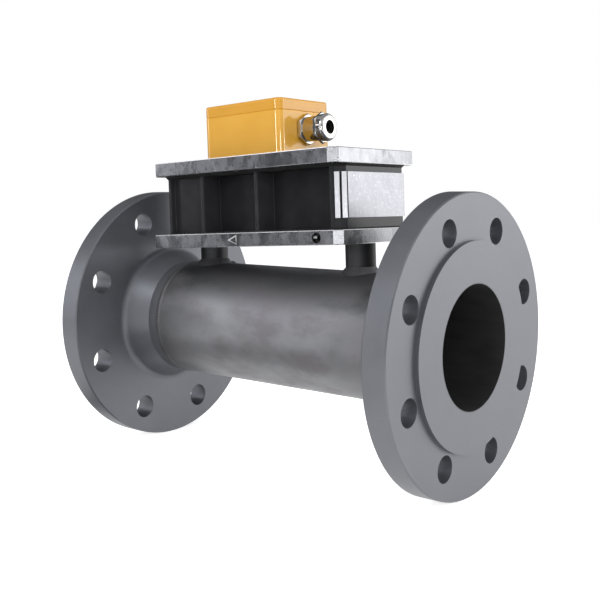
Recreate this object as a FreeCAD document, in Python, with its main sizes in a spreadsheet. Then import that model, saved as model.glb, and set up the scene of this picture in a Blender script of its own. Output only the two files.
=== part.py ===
import FreeCAD, Part
import math
import os
import re
import Sketcher

# Oscillation flow meter: a flanged pipe spool with a restriction, and a fluidic
# oscillator head that bridges it. Millimetres.
# Row frame: origin at the centre of the inlet flange's bolt circle, in the plane the bolt
# holes open on, +X out of the inlet, +Z up, so the flow runs towards -X.
# Head frame: origin on the pipe axis at mid length, turned by head_slope so that the
# inlet end lies higher and the passages drain. All pieces of the head are drawn in it.

doc = FreeCAD.newDocument("oscillation_flow_meter")
sheet = doc.addObject("Spreadsheet::Sheet", "sizes")

SIZES = {
    # Pipe run: a DN 80, PN 16 spool
    "meter_length": 300,
    "pipe_diameter": 88.9,
    "pipe_wall": 3.2,
    "flange_diameter": 200,
    "flange_plate": 17,
    "raised_height": 3,
    "raised_diameter": 138,
    "bolt_circle": 160,
    "bolt_hole": 18,
    "bolt_count": 8,
    "neck_diameter": 105,
    "neck_length": 30,
    "weld_end": 10,
    "hub_fillet": 5,
    "rim_chamfer": 0.8,
    "girth_width": 4,
    "girth_crown": 0.3,
    "orifice_bore": 62,
    "orifice_thickness": 6,
    "orifice_bevel": 2,
    # Branches between the pipe and the head
    "head_slope": 2.8,
    "head_shift": -7.8,
    "head_height": 61.4,
    "stub_spacing": 140.6,
    "stub_diameter": 21.3,
    "port_bore": 15,
    "stub_seat": 4,
    "stub_leg": 3.5,
    # Plates and seals of the head
    "plate_width": 100,
    "base_length": 178,
    "base_thickness": 10,
    "base_chamfer": 5,
    "cover_length": 173,
    "cover_thickness": 10,
    "cover_chamfer": 5.5,
    "plate_edge": 0.5,
    "lower_gasket_thickness": 1,
    "upper_gasket_thickness": 2,
    "gasket_lip": 1.8,
    # Ribbed oscillator body
    "body_length": 168.5,
    "body_width": 79,
    "body_height": 41,
    "body_chamfer": 5.8,
    "body_floor": 5,
    "outlet_column_face": 1.9,
    "inlet_column_face": 4.6,
    "rib_width": 3.6,
    "outlet_rib_place": -43.65,
    "inlet_rib_place": 9.3,
    "outlet_pocket": 4.8,
    "middle_pocket": 18,
    "inlet_pocket": 18,
    "pocket_round": 0.5,
    "rib_round": 1.5,
    # Passages inside the oscillator body
    "well_radius": 8.5,
    "nozzle_width": 7,
    "nozzle_mouth": 62,
    "nozzle_throat": 46,
    "nozzle_lip": 40,
    "control_gap": 5,
    "island_start_width": 10,
    "island_end_width": 20,
    "island_end": -14,
    "channel_inner": 13,
    "channel_outer": 18,
    "splitter_nose": -20,
    "splitter_nose_width": 4,
    "splitter_width": 17,
    "splitter_end": -42,
    "outlet_start": -46,
    "outlet_end": -76,
    "outlet_half_width": 24,
    # Screws through the head
    "clamp_diameter": 5,
    "clamp_head": 10,
    "clamp_clearance": 0.5,
    "clamp_depth": 8,
    "clamp_corner_x": 79.6,
    "clamp_corner_y": 30.5,
    "clamp_nozzle_x": 52,
    "clamp_nozzle_y": 14,
    "clamp_splitter_x": -32,
    # Side port and flow arrow in the long edge of the base plate
    "side_port": 7.2,
    "side_port_depth": 12,
    "side_port_drill": 4,
    "plug_length": 5,
    "plug_recess": 3,
    "plug_socket": 4,
    "plug_socket_depth": 3,
    "arrow_tip": -9.7,
    "arrow_length": 8.8,
    "arrow_height": 7.3,
    "arrow_groove": 0.9,
    "arrow_depth": 0.5,
    # Sheet round the inlet end of the oscillator body
    "sheet_thickness": 1.2,
    "sheet_height": 30.4,
    "sheet_rise": 6.7,
    "sheet_groove": 1.4,
    "sheet_groove_depth": 0.8,
    "sheet_notch": 0.5,
    # Sensor
    "sensor_place": -8,
    "sensor_thread": 10,
    "sensor_flange": 14,
    "sensor_flange_height": 4,
    "sensor_rod": 4,
    "sensor_tip": 2.4,
    "sensor_tip_length": 15,
    "sensor_pin": 0.8,
    "sensor_pin_pitch": 2.5,
    "o_ring_section": 1.6,
    "o_ring_diameter": 11.6,
    # Enclosure
    "box_place": -11.6,
    "box_length": 74,
    "box_width": 57.6,
    "box_height": 31,
    "box_wall": 3,
    "box_floor": 3,
    "box_corner": 4.7,
    "box_seal": 0.8,
    "lid_height": 8.4,
    "lid_top": 3,
    "lid_round": 1.6,
    "seam_chamfer": 0.4,
    "lid_seal_width": 1.4,
    "lid_seal_height": 1.2,
    "boss_diameter": 9,
    "boss_inset": 6.5,
    "lid_screw": 4,
    "lid_screw_head": 7,
    "lid_screw_head_height": 3,
    "lid_recess": 5.4,
    "lid_screw_reach": 12,
    "recess_clearance": 0.4,
    "post_height": 8,
    "post_diameter": 6,
    "fix_screw": 4,
    "fix_head": 7,
    "fix_head_height": 2.6,
    "fix_depth": 7,
    "fix_outlet_x": -22,
    "fix_inlet_x": 20,
    "fix_spacing": 18,
    # Electronics
    "board_length": 44,
    "board_width": 40,
    "board_thickness": 1.6,
    "board_place": -3,
    "board_screw": 3,
    "board_screw_head": 5.5,
    "board_screw_head_height": 2,
    "board_screw_reach": 6,
    "board_hole_inset": 4,
    "terminal_length": 9,
    "terminal_width": 24,
    "terminal_height": 10,
    "terminal_ways": 4,
    "terminal_hole": 3,
    "terminal_screw_diameter": 3,
    "terminal_screw_length": 4,
    "chip_side": 10,
    "chip_height": 1.4,
    "capacitor_diameter": 6.3,
    "capacitor_height": 8,
    "capacitor_pitch": 10,
    # Cable gland, M16
    "gland_height": 18.6,
    "gland_thread": 16,
    "gland_pitch": 1.5,
    "gland_thread_length": 9,
    "washer_thickness": 0.6,
    "washer_diameter": 19,
    "gland_flats": 20,
    "gland_hex_length": 2.5,
    "gland_barrel": 18.2,
    "gland_barrel_length": 10.8,
    "gland_neck": 15,
    "gland_neck_length": 5,
    "gland_bore": 11,
    "seal_diameter": 13,
    "seal_bore": 8,
    "seal_length": 9,
    "ring_thickness": 0.8,
    "ring_bore": 10,
    "nut_flats": 20,
    "nut_hex_length": 1.9,
    "nut_dome": 19.6,
    "nut_length": 7.6,
    "nut_round": 2.6,
    "nut_opening": 10,
    "locknut_flats": 20,
    "locknut_thickness": 4,
    "gland_clearance": 0.3,
}

for row, (name, size) in enumerate(SIZES.items(), start=1):
    sheet.set("A%d" % row, name)
    sheet.set("B%d" % row, str(size))
    sheet.setAlias("B%d" % row, name)
doc.recompute()

ALIASES = re.compile(r"\b(%s)\b" % "|".join(sorted(SIZES, key=len, reverse=True)))
HEAD = "placement(vector(raised_height - meter_length / 2; 0; 0); rotation(vector(0; 1; 0); -head_slope))"


def bound(words):
    """An expression in the sheet's own words, as the document reads it."""
    return ALIASES.sub(r"sizes.\1", str(words))


def number(words):
    """The value that an expression has now."""
    return float(sheet.evalExpression(bound(words)))


def place(item, where):
    item.setExpression("Placement", bound(where))


def head_point(x, y, z):
    """The place of a piece drawn about its own origin, at a point of the head frame."""
    return "%s * placement(vector(%s; %s; %s); rotation(vector(1; 0; 0); 0))" % (HEAD, x, y, z)


def new_body(label, where=HEAD):
    body = doc.addObject("PartDesign::Body", label)
    body.Label = label
    if where:
        place(body, where)
    return body


def origin_item(body, role):
    return [item for item in body.Origin.OriginFeatures if item.Role == role][0]


def new_sketch(body, name, plane="XY_Plane", lift="0"):
    """A sketch on one of the body's own planes, lifted along the plane's normal."""
    sketch = body.newObject("Sketcher::SketchObject", name)
    sketch.AttachmentSupport = [(origin_item(body, plane), "")]
    sketch.MapMode = "FlatFace"
    sketch.setExpression("AttachmentOffset.Base.z", bound(lift))
    return sketch


def pin(sketch, geometry, vertex, x, y):
    """Hold one point of the sketch at a place given by two expressions."""
    for kind, words in (("DistanceX", x), ("DistanceY", y)):
        index = sketch.addConstraint(
            Sketcher.Constraint(kind, -1, 1, geometry, vertex, number(words)))
        sketch.setExpression("Constraints[%d]" % index, bound(words))


def polygon(sketch, corners):
    """A closed outline through corners given as pairs of expressions."""
    first = sketch.GeometryCount
    count = len(corners)
    spots = [FreeCAD.Vector(number(x), number(y), 0) for x, y in corners]
    for index in range(count):
        sketch.addGeometry(Part.LineSegment(spots[index], spots[(index + 1) % count]), False)
    for index in range(count):
        following = first + (index + 1) % count
        sketch.addConstraint(Sketcher.Constraint("Coincident", first + index, 2, following, 1))
    for index, (x, y) in enumerate(corners):
        pin(sketch, first + index, 1, x, y)


def circle(sketch, x, y, radius):
    index = sketch.GeometryCount
    middle = FreeCAD.Vector(number(x), number(y), 0)
    sketch.addGeometry(Part.Circle(middle, FreeCAD.Vector(0, 0, 1), number(radius)), False)
    size = sketch.addConstraint(Sketcher.Constraint("Radius", index, number(radius)))
    sketch.setExpression("Constraints[%d]" % size, bound(radius))
    pin(sketch, index, 3, x, y)


def rectangle(sketch, x_low, x_high, y_low, y_high):
    polygon(sketch, [(x_low, y_low), (x_high, y_low), (x_high, y_high), (x_low, y_high)])


def chamfered_outline(sketch, middle, half_length, half_width, cut):
    """A rectangle with its four corners cut at 45 degrees."""
    corners = []
    for side_x, side_y, first in ((1, 1, 0), (-1, 1, 1), (-1, -1, 0), (1, -1, 1)):
        near_x = ("%s + %d * (%s)" % (middle, side_x, half_length),
                  "%d * (%s - (%s))" % (side_y, half_width, cut))
        near_y = ("%s + %d * (%s - (%s))" % (middle, side_x, half_length, cut),
                  "%d * (%s)" % (side_y, half_width))
        corners += [near_y, near_x] if first else [near_x, near_y]
    polygon(sketch, corners)


def hexagon(sketch, flats):
    """A hexagon with two flats upright, given by its size across flats."""
    for_corner = "(%s) / 2 / cos(30 deg)" % flats
    polygon(sketch, [("(%s) * cos(%d deg)" % (for_corner, angle),
                      "(%s) * sin(%d deg)" % (for_corner, angle)) for angle in range(30, 390, 60)])


def extrude(body, kind, sketch, length, reverse=False):
    """A pad or a pocket of a sketch."""
    sketch.Visibility = False
    feature = body.newObject("PartDesign::" + kind, sketch.Name + "_" + kind.lower())
    feature.Profile = sketch
    feature.Type = 0
    feature.setExpression("Length", bound(length))
    feature.Reversed = reverse
    doc.recompute()
    return feature


def pad(body, sketch, length, reverse=False):
    return extrude(body, "Pad", sketch, length, reverse)


def pocket(body, sketch, depth, reverse=False):
    """A pocket, which has to take something away."""
    before = body.Shape.Volume
    feature = extrude(body, "Pocket", sketch, depth, reverse)
    if not body.Shape.Volume < before - 1e-6:
        raise RuntimeError("%s cuts nothing" % feature.Name)
    return feature


def revolve(body, sketch, kind="Revolution", axis="H_Axis"):
    feature = body.newObject("PartDesign::" + kind, sketch.Name + "_turned")
    feature.Profile = sketch
    feature.ReferenceAxis = (sketch, [axis])
    feature.Angle = 360
    doc.recompute()
    return feature


def polar_copies(body, feature, axis, count):
    pattern = body.newObject("PartDesign::PolarPattern", feature.Name + "_copies")
    pattern.Originals = [feature]
    pattern.Axis = (origin_item(body, axis), [""])
    pattern.Angle = 360
    pattern.setExpression("Occurrences", bound(count))
    body.Tip = pattern
    doc.recompute()
    return pattern


def dress(body, kind, size, wanted, name):
    """A fillet or a chamfer on the last feature's edges that pass a test, in the body's frame."""
    base = body.Tip
    edges = ["Edge%d" % (index + 1) for index, edge in enumerate(base.Shape.Edges) if wanted(edge)]
    if not edges:
        raise RuntimeError("%s finds no edge" % name)
    feature = body.newObject("PartDesign::" + kind, name)
    feature.Base = (base, edges)
    feature.setExpression("Radius" if kind == "Fillet" else "Size", bound(size))
    doc.recompute()
    return feature


def fillet(body, size, wanted, name):
    return dress(body, "Fillet", size, wanted, name)


def chamfer(body, size, wanted, name):
    return dress(body, "Chamfer", size, wanted, name)


def is_upright(edge):
    if not isinstance(edge.Curve, Part.Line):
        return False
    ends = edge.Vertexes
    return abs(ends[0].X - ends[1].X) < 1e-6 and abs(ends[0].Y - ends[1].Y) < 1e-6


def is_circle(edge, radius):
    return isinstance(edge.Curve, Part.Circle) and abs(edge.Curve.Radius - radius) < 1e-6


def all_at(edge, axis, level):
    """True where the whole edge lies at one level of an axis."""
    box = edge.BoundBox
    low, high = getattr(box, axis + "Min"), getattr(box, axis + "Max")
    return abs(low - level) < 1e-4 and abs(high - level) < 1e-4


def cylinder(name, radius, height, where):
    item = doc.addObject("Part::Cylinder", name)
    item.setExpression("Radius", bound(radius))
    item.setExpression("Height", bound(height))
    place(item, where)
    return item


def cut(name, base, tool):
    item = doc.addObject("Part::Cut", name)
    item.Label = name
    item.Base = base
    item.Tool = tool
    return item


def compound(name, items):
    item = doc.addObject("Part::Compound", name)
    item.Label = name
    item.Links = items
    return item


def on_axis(x, turn=0):
    """A place on the pipe axis, turned about the upright."""
    return "placement(vector(%s; 0; 0); rotation(vector(0; 0; 1); %d))" % (x, turn)


parts = []


def keep(item):
    parts.append(item)
    return item


# Levels of the head, from the underside of the base plate up, along the head's own Z.
BASE_TOP = "(head_height + base_thickness)"
BODY_BOTTOM = "(%s + lower_gasket_thickness)" % BASE_TOP
BODY_TOP = "(%s + body_height)" % BODY_BOTTOM
COVER_BOTTOM = "(%s + upper_gasket_thickness)" % BODY_TOP
COVER_TOP = "(%s + cover_thickness)" % COVER_BOTTOM
BOX_BOTTOM = "(%s + box_seal)" % COVER_TOP
BOX_INSIDE = "(%s + box_floor)" % BOX_BOTTOM
SEAM = "(%s + box_height)" % BOX_BOTTOM
LID_TOP = "(%s + lid_height)" % SEAM
BOARD_BOTTOM = "(%s + post_height)" % BOX_INSIDE
BOARD_TOP = "(%s + board_thickness)" % BOARD_BOTTOM
BOX_MIDDLE = "(head_shift + box_place)"
BOX_WALL_X = "(%s + box_length / 2)" % BOX_MIDDLE
GLAND_LEVEL = "(%s + gland_height)" % COVER_TOP
PORTS = ("head_shift + stub_spacing / 2", "head_shift - stub_spacing / 2")
PIPE_BORE = "(pipe_diameter / 2 - pipe_wall)"
NECK_TOTAL = "(raised_height + flange_plate + neck_length)"


# Weld-neck flanges: one turned section about the pipe axis, then the ring of bolt holes.
def weld_neck_flange(label, where):
    """Drawn with the raised face at x = 0 and the neck towards -X."""
    body = new_body(label, where)
    plate_back = "-(raised_height + flange_plate)"
    section = new_sketch(body, label + "_section", "XZ_Plane")
    polygon(section, [
        ("0", PIPE_BORE),
        ("0", "raised_diameter / 2"),
        ("-raised_height", "raised_diameter / 2"),
        ("-raised_height", "flange_diameter / 2"),
        (plate_back, "flange_diameter / 2"),
        (plate_back, "neck_diameter / 2"),
        ("-%s + weld_end" % NECK_TOTAL, "pipe_diameter / 2"),
        ("-%s + girth_width / 2" % NECK_TOTAL, "pipe_diameter / 2"),
        ("-%s" % NECK_TOTAL, PIPE_BORE),
    ])
    revolve(body, section)
    fillet(body, "hub_fillet",
           lambda edge: is_circle(edge, number("neck_diameter / 2"))
           and all_at(edge, "X", number(plate_back)), label + "_hub_fillet")
    hole = new_sketch(body, label + "_hole", "YZ_Plane")
    turn = "180 deg / bolt_count"
    circle(hole, "bolt_circle / 2 * sin(%s)" % turn, "bolt_circle / 2 * cos(%s)" % turn, "bolt_hole / 2")
    drilled = pocket(body, hole, "raised_height + flange_plate")
    polar_copies(body, drilled, "X_Axis", "bolt_count")
    rim = number("flange_diameter / 2")
    chamfer(body, "rim_chamfer", lambda edge: is_circle(edge, rim), label + "_rim")
    return keep(body)


weld_neck_flange("inlet_flange", on_axis("raised_height"))
weld_neck_flange("outlet_flange", on_axis("raised_height - meter_length", 180))

# Pipe between the two necks, with both ends bevelled for the welds and two branch holes.
pipe = new_body("plain_pipe", on_axis("raised_height - %s" % NECK_TOTAL))
pipe_length = "(meter_length - 2 * %s)" % NECK_TOTAL
pipe_section = new_sketch(pipe, "pipe_section", "XZ_Plane")
polygon(pipe_section, [
    ("0", PIPE_BORE),
    ("-girth_width / 2", "pipe_diameter / 2"),
    ("-%s + girth_width / 2" % pipe_length, "pipe_diameter / 2"),
    ("-%s" % pipe_length, PIPE_BORE),
])
revolve(pipe, pipe_section)
drill = [cylinder("branch_drill_%d" % index, "port_bore / 2", "head_height", head_point(x, "0", "0"))
         for index, x in enumerate(PORTS)]
drills = compound("branch_drills", drill)
keep(cut("main_pipe", pipe, drills))

# Girth welds: each fills its V between neck and pipe and crowns over it.
girth = []
for index, x in enumerate(("-%s" % NECK_TOTAL, "-meter_length + %s" % NECK_TOTAL)):
    bead = new_body("girth_bead_%d" % index, on_axis("raised_height + %s" % x))
    bead_section = new_sketch(bead, "girth_section_%d" % index, "XZ_Plane")
    polygon(bead_section, [
        ("0", PIPE_BORE),
        ("girth_width / 2", "pipe_diameter / 2"),
        ("girth_width / 4", "pipe_diameter / 2 + girth_crown"),
        ("-girth_width / 4", "pipe_diameter / 2 + girth_crown"),
        ("-girth_width / 2", "pipe_diameter / 2"),
    ])
    revolve(bead, bead_section)
    girth.append(bead)
keep(compound("girth_welds", girth))

# Restriction in the middle of the pipe, bevelled on its outlet side.
orifice = new_body("orifice_plate", on_axis("raised_height - meter_length / 2"))
orifice_section = new_sketch(orifice, "orifice_section", "XZ_Plane")
polygon(orifice_section, [
    ("orifice_thickness / 2", "orifice_bore / 2"),
    ("orifice_thickness / 2", PIPE_BORE),
    ("-orifice_thickness / 2", PIPE_BORE),
    ("-orifice_thickness / 2", "orifice_bore / 2 + orifice_bevel"),
    ("-orifice_thickness / 2 + orifice_bevel", "orifice_bore / 2"),
])
revolve(orifice, orifice_section)
keep(orifice)

# Branch stubs: tubes square to the head, saddled on the pipe and socketed in the base plate.
pipe_solid = cylinder("pipe_solid", "pipe_diameter / 2", "meter_length",
                      "placement(vector(raised_height; 0; 0); rotation(vector(0; 1; 0); -90))")
crest_height = "((pipe_diameter / 2 - sin(head_slope * 1 deg) * (%s)) / cos(head_slope * 1 deg))"
saddle_drop = "(pipe_diameter / 2 - sqrt((pipe_diameter / 2)^2 - (stub_diameter / 2 + stub_leg)^2))"
fillets = []
for label, x in zip(("inlet_stub", "outlet_stub"), PORTS):
    top = "head_height + stub_seat"
    outside = cylinder(label + "_outside", "stub_diameter / 2", top, head_point(x, "0", "0"))
    inside = cylinder(label + "_inside", "port_bore / 2", top, head_point(x, "0", "0"))
    tube = cut(label + "_tube", outside, inside)
    keep(cut(label, tube, pipe_solid))
    crest = crest_height % x
    skirt = doc.addObject("Part::Cone", label + "_skirt")
    skirt.setExpression("Radius1", bound("stub_diameter / 2 + stub_leg"))
    skirt.setExpression("Radius2", bound("stub_diameter / 2"))
    skirt.setExpression("Height", bound("stub_leg + %s" % saddle_drop))
    place(skirt, head_point(x, "0", "%s - %s" % (crest, saddle_drop)))
    on_pipe = cut(label + "_skirt_on_pipe", skirt, pipe_solid)
    fillets.append(cut(label + "_weld", on_pipe, outside))
keep(compound("stub_welds", fillets))

CLAMP_PLACES = [("head_shift + %d * clamp_corner_x" % side_x, "%d * clamp_corner_y" % side_y)
                for side_x in (1, -1) for side_y in (1, -1)]
CLAMP_PLACES += [("head_shift + clamp_nozzle_x", "%d * clamp_nozzle_y" % side) for side in (1, -1)]
CLAMP_PLACES += [("head_shift + clamp_splitter_x", "0")]


def circles(body, name, places, radius, lift, plane="XY_Plane"):
    """One sketch with the same circle at several places."""
    sketch = new_sketch(body, name, plane, lift)
    for x, y in places:
        circle(sketch, x, y, radius)
    return sketch


# Base plate: ports, stub sockets, tapped holes, and a side port and arrow in its long edge.
base = new_body("base_plate")
outline = new_sketch(base, "base_outline", lift="head_height")
chamfered_outline(outline, "head_shift", "base_length / 2", "plate_width / 2", "base_chamfer")
pad(base, outline, "base_thickness")
chamfer(base, "plate_edge", lambda edge: not is_upright(edge), "base_edges")
port_places = [(x, "0") for x in PORTS]
pocket(base, circles(base, "base_ports", port_places, "port_bore / 2", BASE_TOP), "base_thickness")
pocket(base, circles(base, "stub_sockets", port_places, "stub_diameter / 2", "head_height"),
       "stub_seat", reverse=True)
pocket(base, circles(base, "base_taps", CLAMP_PLACES, "clamp_diameter / 2", BASE_TOP), "clamp_depth")
side_place = [(PORTS[0], "head_height + base_thickness / 2")]
pocket(base, circles(base, "side_tap", side_place, "side_port / 2", "plate_width / 2", "XZ_Plane"),
       "side_port_depth")
pocket(base, circles(base, "side_drilling", side_place, "side_port_drill / 2", "plate_width / 2", "XZ_Plane"),
       "plate_width / 2")


def arrow_head(sketch, inset):
    """A triangle pointing to the outlet, drawn inside the outer one by an even inset."""
    half = "(arrow_height / 2)"
    slant = "(sqrt(arrow_length^2 + %s^2) / %s)" % (half, half)
    tip = "head_shift + arrow_tip + %s * %s" % (inset, slant)
    back = "head_shift + arrow_tip + arrow_length - %s" % inset
    reach = "(%s * (arrow_length - %s - %s * %s) / arrow_length)" % (half, inset, inset, slant)
    middle = "head_height + base_thickness / 2"
    polygon(sketch, [(tip, middle), (back, "%s - %s" % (middle, reach)), (back, "%s + %s" % (middle, reach))])


arrow = new_sketch(base, "flow_arrow", "XZ_Plane", "plate_width / 2")
arrow_head(arrow, "0")
arrow_head(arrow, "arrow_groove")
pocket(base, arrow, "arrow_depth")
keep(base)

# Plug that closes the side port, with a hexagon socket.
plug = new_body("port_plug", head_point(PORTS[0], "-plate_width / 2 + plug_recess", "head_height + base_thickness / 2")
                + " * placement(vector(0; 0; 0); rotation(vector(1; 0; 0); 90))")
plug_round = circles(plug, "plug_round", [("0", "0")], "side_port / 2", "-plug_length")
pad(plug, plug_round, "plug_length")
plug_hexagon = new_sketch(plug, "plug_hexagon")
hexagon(plug_hexagon, "plug_socket")
pocket(plug, plug_hexagon, "plug_socket_depth")
keep(plug)

# Flat seal under the oscillator body.
lower = new_body("lower_gasket")
outline = new_sketch(lower, "lower_outline", lift=BASE_TOP)
chamfered_outline(outline, "head_shift", "body_length / 2", "body_width / 2", "body_chamfer")
pad(lower, outline, "lower_gasket_thickness")
pocket(lower, circles(lower, "lower_ports", port_places, "port_bore / 2", BODY_BOTTOM),
       "lower_gasket_thickness")
CLAMP_CLEAR = "(clamp_diameter + clamp_clearance) / 2"
pocket(lower, circles(lower, "lower_holes", CLAMP_PLACES, CLAMP_CLEAR, BODY_BOTTOM), "lower_gasket_thickness")
keep(lower)

# Oscillator body: a ribbed moulding. Its side pockets follow the passages inside it.
fluidic = new_body("oscillator_body")
FLAT_END = "(body_length / 2 - body_chamfer)"
POCKETS = (
    ("-(%s - outlet_column_face)" % FLAT_END, "outlet_rib_place - rib_width / 2", "outlet_pocket"),
    ("outlet_rib_place + rib_width / 2", "inlet_rib_place - rib_width / 2", "middle_pocket"),
    ("inlet_rib_place + rib_width / 2", "(%s - inlet_column_face)" % FLAT_END, "inlet_pocket"),
)


def ribbed_side(side):
    """Corners of one long side, from the outlet end to the inlet end."""
    face = "%d * body_width / 2" % side
    corners = [("head_shift - body_length / 2 + body_chamfer", face)]
    for start, end, depth in POCKETS:
        deep = "%d * (body_width / 2 - %s)" % (side, depth)
        corners += [("head_shift + %s" % start, face), ("head_shift + %s" % start, deep),
                    ("head_shift + %s" % end, deep), ("head_shift + %s" % end, face)]
    corners.append(("head_shift + body_length / 2 - body_chamfer", face))
    return corners


def end_corners(side):
    x = "head_shift + %d * body_length / 2" % side
    return [(x, "%d * (body_width / 2 - body_chamfer)" % turn) for turn in (-side, side)]


outline = new_sketch(fluidic, "ribbed_outline", lift=BODY_BOTTOM)
near_side = ribbed_side(-1)
far_side = list(reversed(ribbed_side(1)))
polygon(outline, near_side + end_corners(1) + far_side + list(end_corners(-1)))
pad(fluidic, outline, "body_height")
pocket_floors = [number("body_width / 2 - %s" % depth) for _, _, depth in POCKETS]
pocket_sides = [number("head_shift + %s" % x) for start, end, _ in POCKETS for x in (start, end)]


def in_pocket_corner(edge):
    spot = edge.Vertexes[0]
    return (is_upright(edge) and any(abs(abs(spot.Y) - floor) < 1e-4 for floor in pocket_floors)
            and any(abs(spot.X - x) < 1e-4 for x in pocket_sides))


def on_rib_front(edge):
    spot = edge.Vertexes[0]
    return (is_upright(edge) and abs(abs(spot.Y) - number("body_width / 2")) < 1e-4
            and any(abs(spot.X - x) < 1e-4 for x in pocket_sides))


fillet(fluidic, "pocket_round", in_pocket_corner, "pocket_corners")
fillet(fluidic, "rib_round", on_rib_front, "rib_fronts")
CORE_DEPTH = "body_height - body_floor"
pocket(fluidic, circles(fluidic, "port_wells", port_places, "well_radius", BODY_TOP), CORE_DEPTH)
nozzle = new_sketch(fluidic, "nozzle_core", lift=BODY_TOP)
NOZZLE = [("head_shift + stub_spacing / 2", "well_radius"), ("head_shift + nozzle_mouth", "well_radius"),
          ("head_shift + nozzle_throat", "nozzle_width / 2"), ("head_shift + nozzle_lip", "nozzle_width / 2")]
polygon(nozzle, NOZZLE + [(x, "-(%s)" % y) for x, y in reversed(NOZZLE)])
pocket(fluidic, nozzle, CORE_DEPTH)
chamber = new_sketch(fluidic, "chamber_core", lift=BODY_TOP)
rectangle(chamber, "head_shift + outlet_start", "head_shift + nozzle_lip", "-channel_outer", "channel_outer")
for side in (1, -1):
    polygon(chamber, [
        ("head_shift + nozzle_lip - control_gap", "%d * island_start_width / 2" % side),
        ("head_shift + nozzle_lip - control_gap", "%d * channel_inner" % side),
        ("head_shift + island_end", "%d * channel_inner" % side),
        ("head_shift + island_end", "%d * island_end_width / 2" % side),
    ])
polygon(chamber, [
    ("head_shift + splitter_nose", "-splitter_nose_width / 2"),
    ("head_shift + splitter_nose", "splitter_nose_width / 2"),
    ("head_shift + (splitter_nose + splitter_end) / 2", "splitter_width / 2"),
    ("head_shift + splitter_end", "splitter_width / 2"),
    ("head_shift + splitter_end", "-splitter_width / 2"),
    ("head_shift + (splitter_nose + splitter_end) / 2", "-splitter_width / 2"),
])
pocket(fluidic, chamber, CORE_DEPTH)
outlet_core = new_sketch(fluidic, "outlet_core", lift=BODY_TOP)
rectangle(outlet_core, "head_shift + outlet_end", "head_shift + outlet_start",
          "-outlet_half_width", "outlet_half_width")
pocket(fluidic, outlet_core, CORE_DEPTH)
pocket(fluidic, circles(fluidic, "floor_ports", port_places, "port_bore / 2", BODY_TOP), "body_height")
pocket(fluidic, circles(fluidic, "body_holes", CLAMP_PLACES, CLAMP_CLEAR, BODY_TOP), "body_height")
keep(fluidic)

# Moulded seal over the oscillator body, with a bevelled lip past its sides.
upper = new_body("upper_gasket")
outline = new_sketch(upper, "upper_outline", lift=BODY_TOP)
chamfered_outline(outline, "head_shift", "(body_length / 2 + gasket_lip)", "(body_width / 2 + gasket_lip)",
                  "body_chamfer + gasket_lip * (2 - sqrt(2))")
pad(upper, outline, "upper_gasket_thickness")
chamfer(upper, "min(gasket_lip; upper_gasket_thickness) * 0.9",
        lambda edge: all_at(edge, "Z", number(BODY_TOP)), "lip_bevel")
pocket(upper, circles(upper, "upper_holes", CLAMP_PLACES, CLAMP_CLEAR, COVER_BOTTOM), "upper_gasket_thickness")
SENSOR = ("head_shift + sensor_place", "(channel_inner + channel_outer) / 2")
pocket(upper, circles(upper, "upper_sensor", [SENSOR], "sensor_tip / 2 + clamp_clearance / 2", COVER_BOTTOM),
       "upper_gasket_thickness")
keep(upper)

# Cover plate: countersunk for the clamp screws, tapped for the enclosure and the sensor.
cover = new_body("cover_plate")
outline = new_sketch(cover, "cover_outline", lift=COVER_BOTTOM)
chamfered_outline(outline, "head_shift", "cover_length / 2", "plate_width / 2", "cover_chamfer")
pad(cover, outline, "cover_thickness")
chamfer(cover, "plate_edge", lambda edge: not is_upright(edge), "cover_edges")
pocket(cover, circles(cover, "cover_holes", CLAMP_PLACES, CLAMP_CLEAR, COVER_TOP), "cover_thickness")
clear_radius = number(CLAMP_CLEAR)
chamfer(cover, "(clamp_head - clamp_diameter - clamp_clearance) / 2 + 0.1",
        lambda edge: is_circle(edge, clear_radius) and all_at(edge, "Z", number(COVER_TOP)), "countersinks")
pocket(cover, circles(cover, "cover_sensor", [SENSOR], "sensor_thread / 2", COVER_TOP), "cover_thickness")
FIX_PLACES = [("%s + %s" % (BOX_MIDDLE, x), "%d * fix_spacing / 2" % side)
              for x in ("fix_outlet_x", "fix_inlet_x") for side in (1, -1)]
pocket(cover, circles(cover, "cover_taps", FIX_PLACES, "fix_screw / 2", COVER_TOP), "fix_depth")
keep(cover)

# Countersunk clamp screws through the whole stack into the base plate.
clamps = new_body("clamp_screws")
CLAMP_CONE = "((clamp_head - clamp_diameter) / 2)"
CLAMP_TIP = "(%s - clamp_depth)" % BASE_TOP
pad(clamps, circles(clamps, "clamp_shanks", CLAMP_PLACES, "clamp_diameter / 2", CLAMP_TIP),
    "%s - %s" % (COVER_TOP, CLAMP_TIP))
pad(clamps, circles(clamps, "clamp_heads", CLAMP_PLACES, "clamp_head / 2", "%s - %s" % (COVER_TOP, CLAMP_CONE)),
    CLAMP_CONE)
head_radius = number("clamp_head / 2")
chamfer(clamps, CLAMP_CONE + " * 0.999",
        lambda edge: is_circle(edge, head_radius)
        and all_at(edge, "Z", number("%s - %s" % (COVER_TOP, CLAMP_CONE))), "clamp_cones")
CLAMP_SLOT = "clamp_head / 8"
slots = new_sketch(clamps, "clamp_slots", lift=COVER_TOP)
for x, y in CLAMP_PLACES:
    rectangle(slots, "%s - clamp_head / 2" % x, "%s + clamp_head / 2" % x,
              "%s - %s / 2" % (y, CLAMP_SLOT), "%s + %s / 2" % (y, CLAMP_SLOT))
pocket(clamps, slots, CLAMP_SLOT)
keep(clamps)

# Sheet folded round the inlet end of the oscillator body, grooved along both bent corners
# and notched at the folds.
sheet_body = new_body("end_sheet")
END_X = "(head_shift + body_length / 2)"
END_Y = "(body_width / 2 - body_chamfer)"
FOLD = "(sheet_thickness * tan(22.5 deg))"


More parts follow.
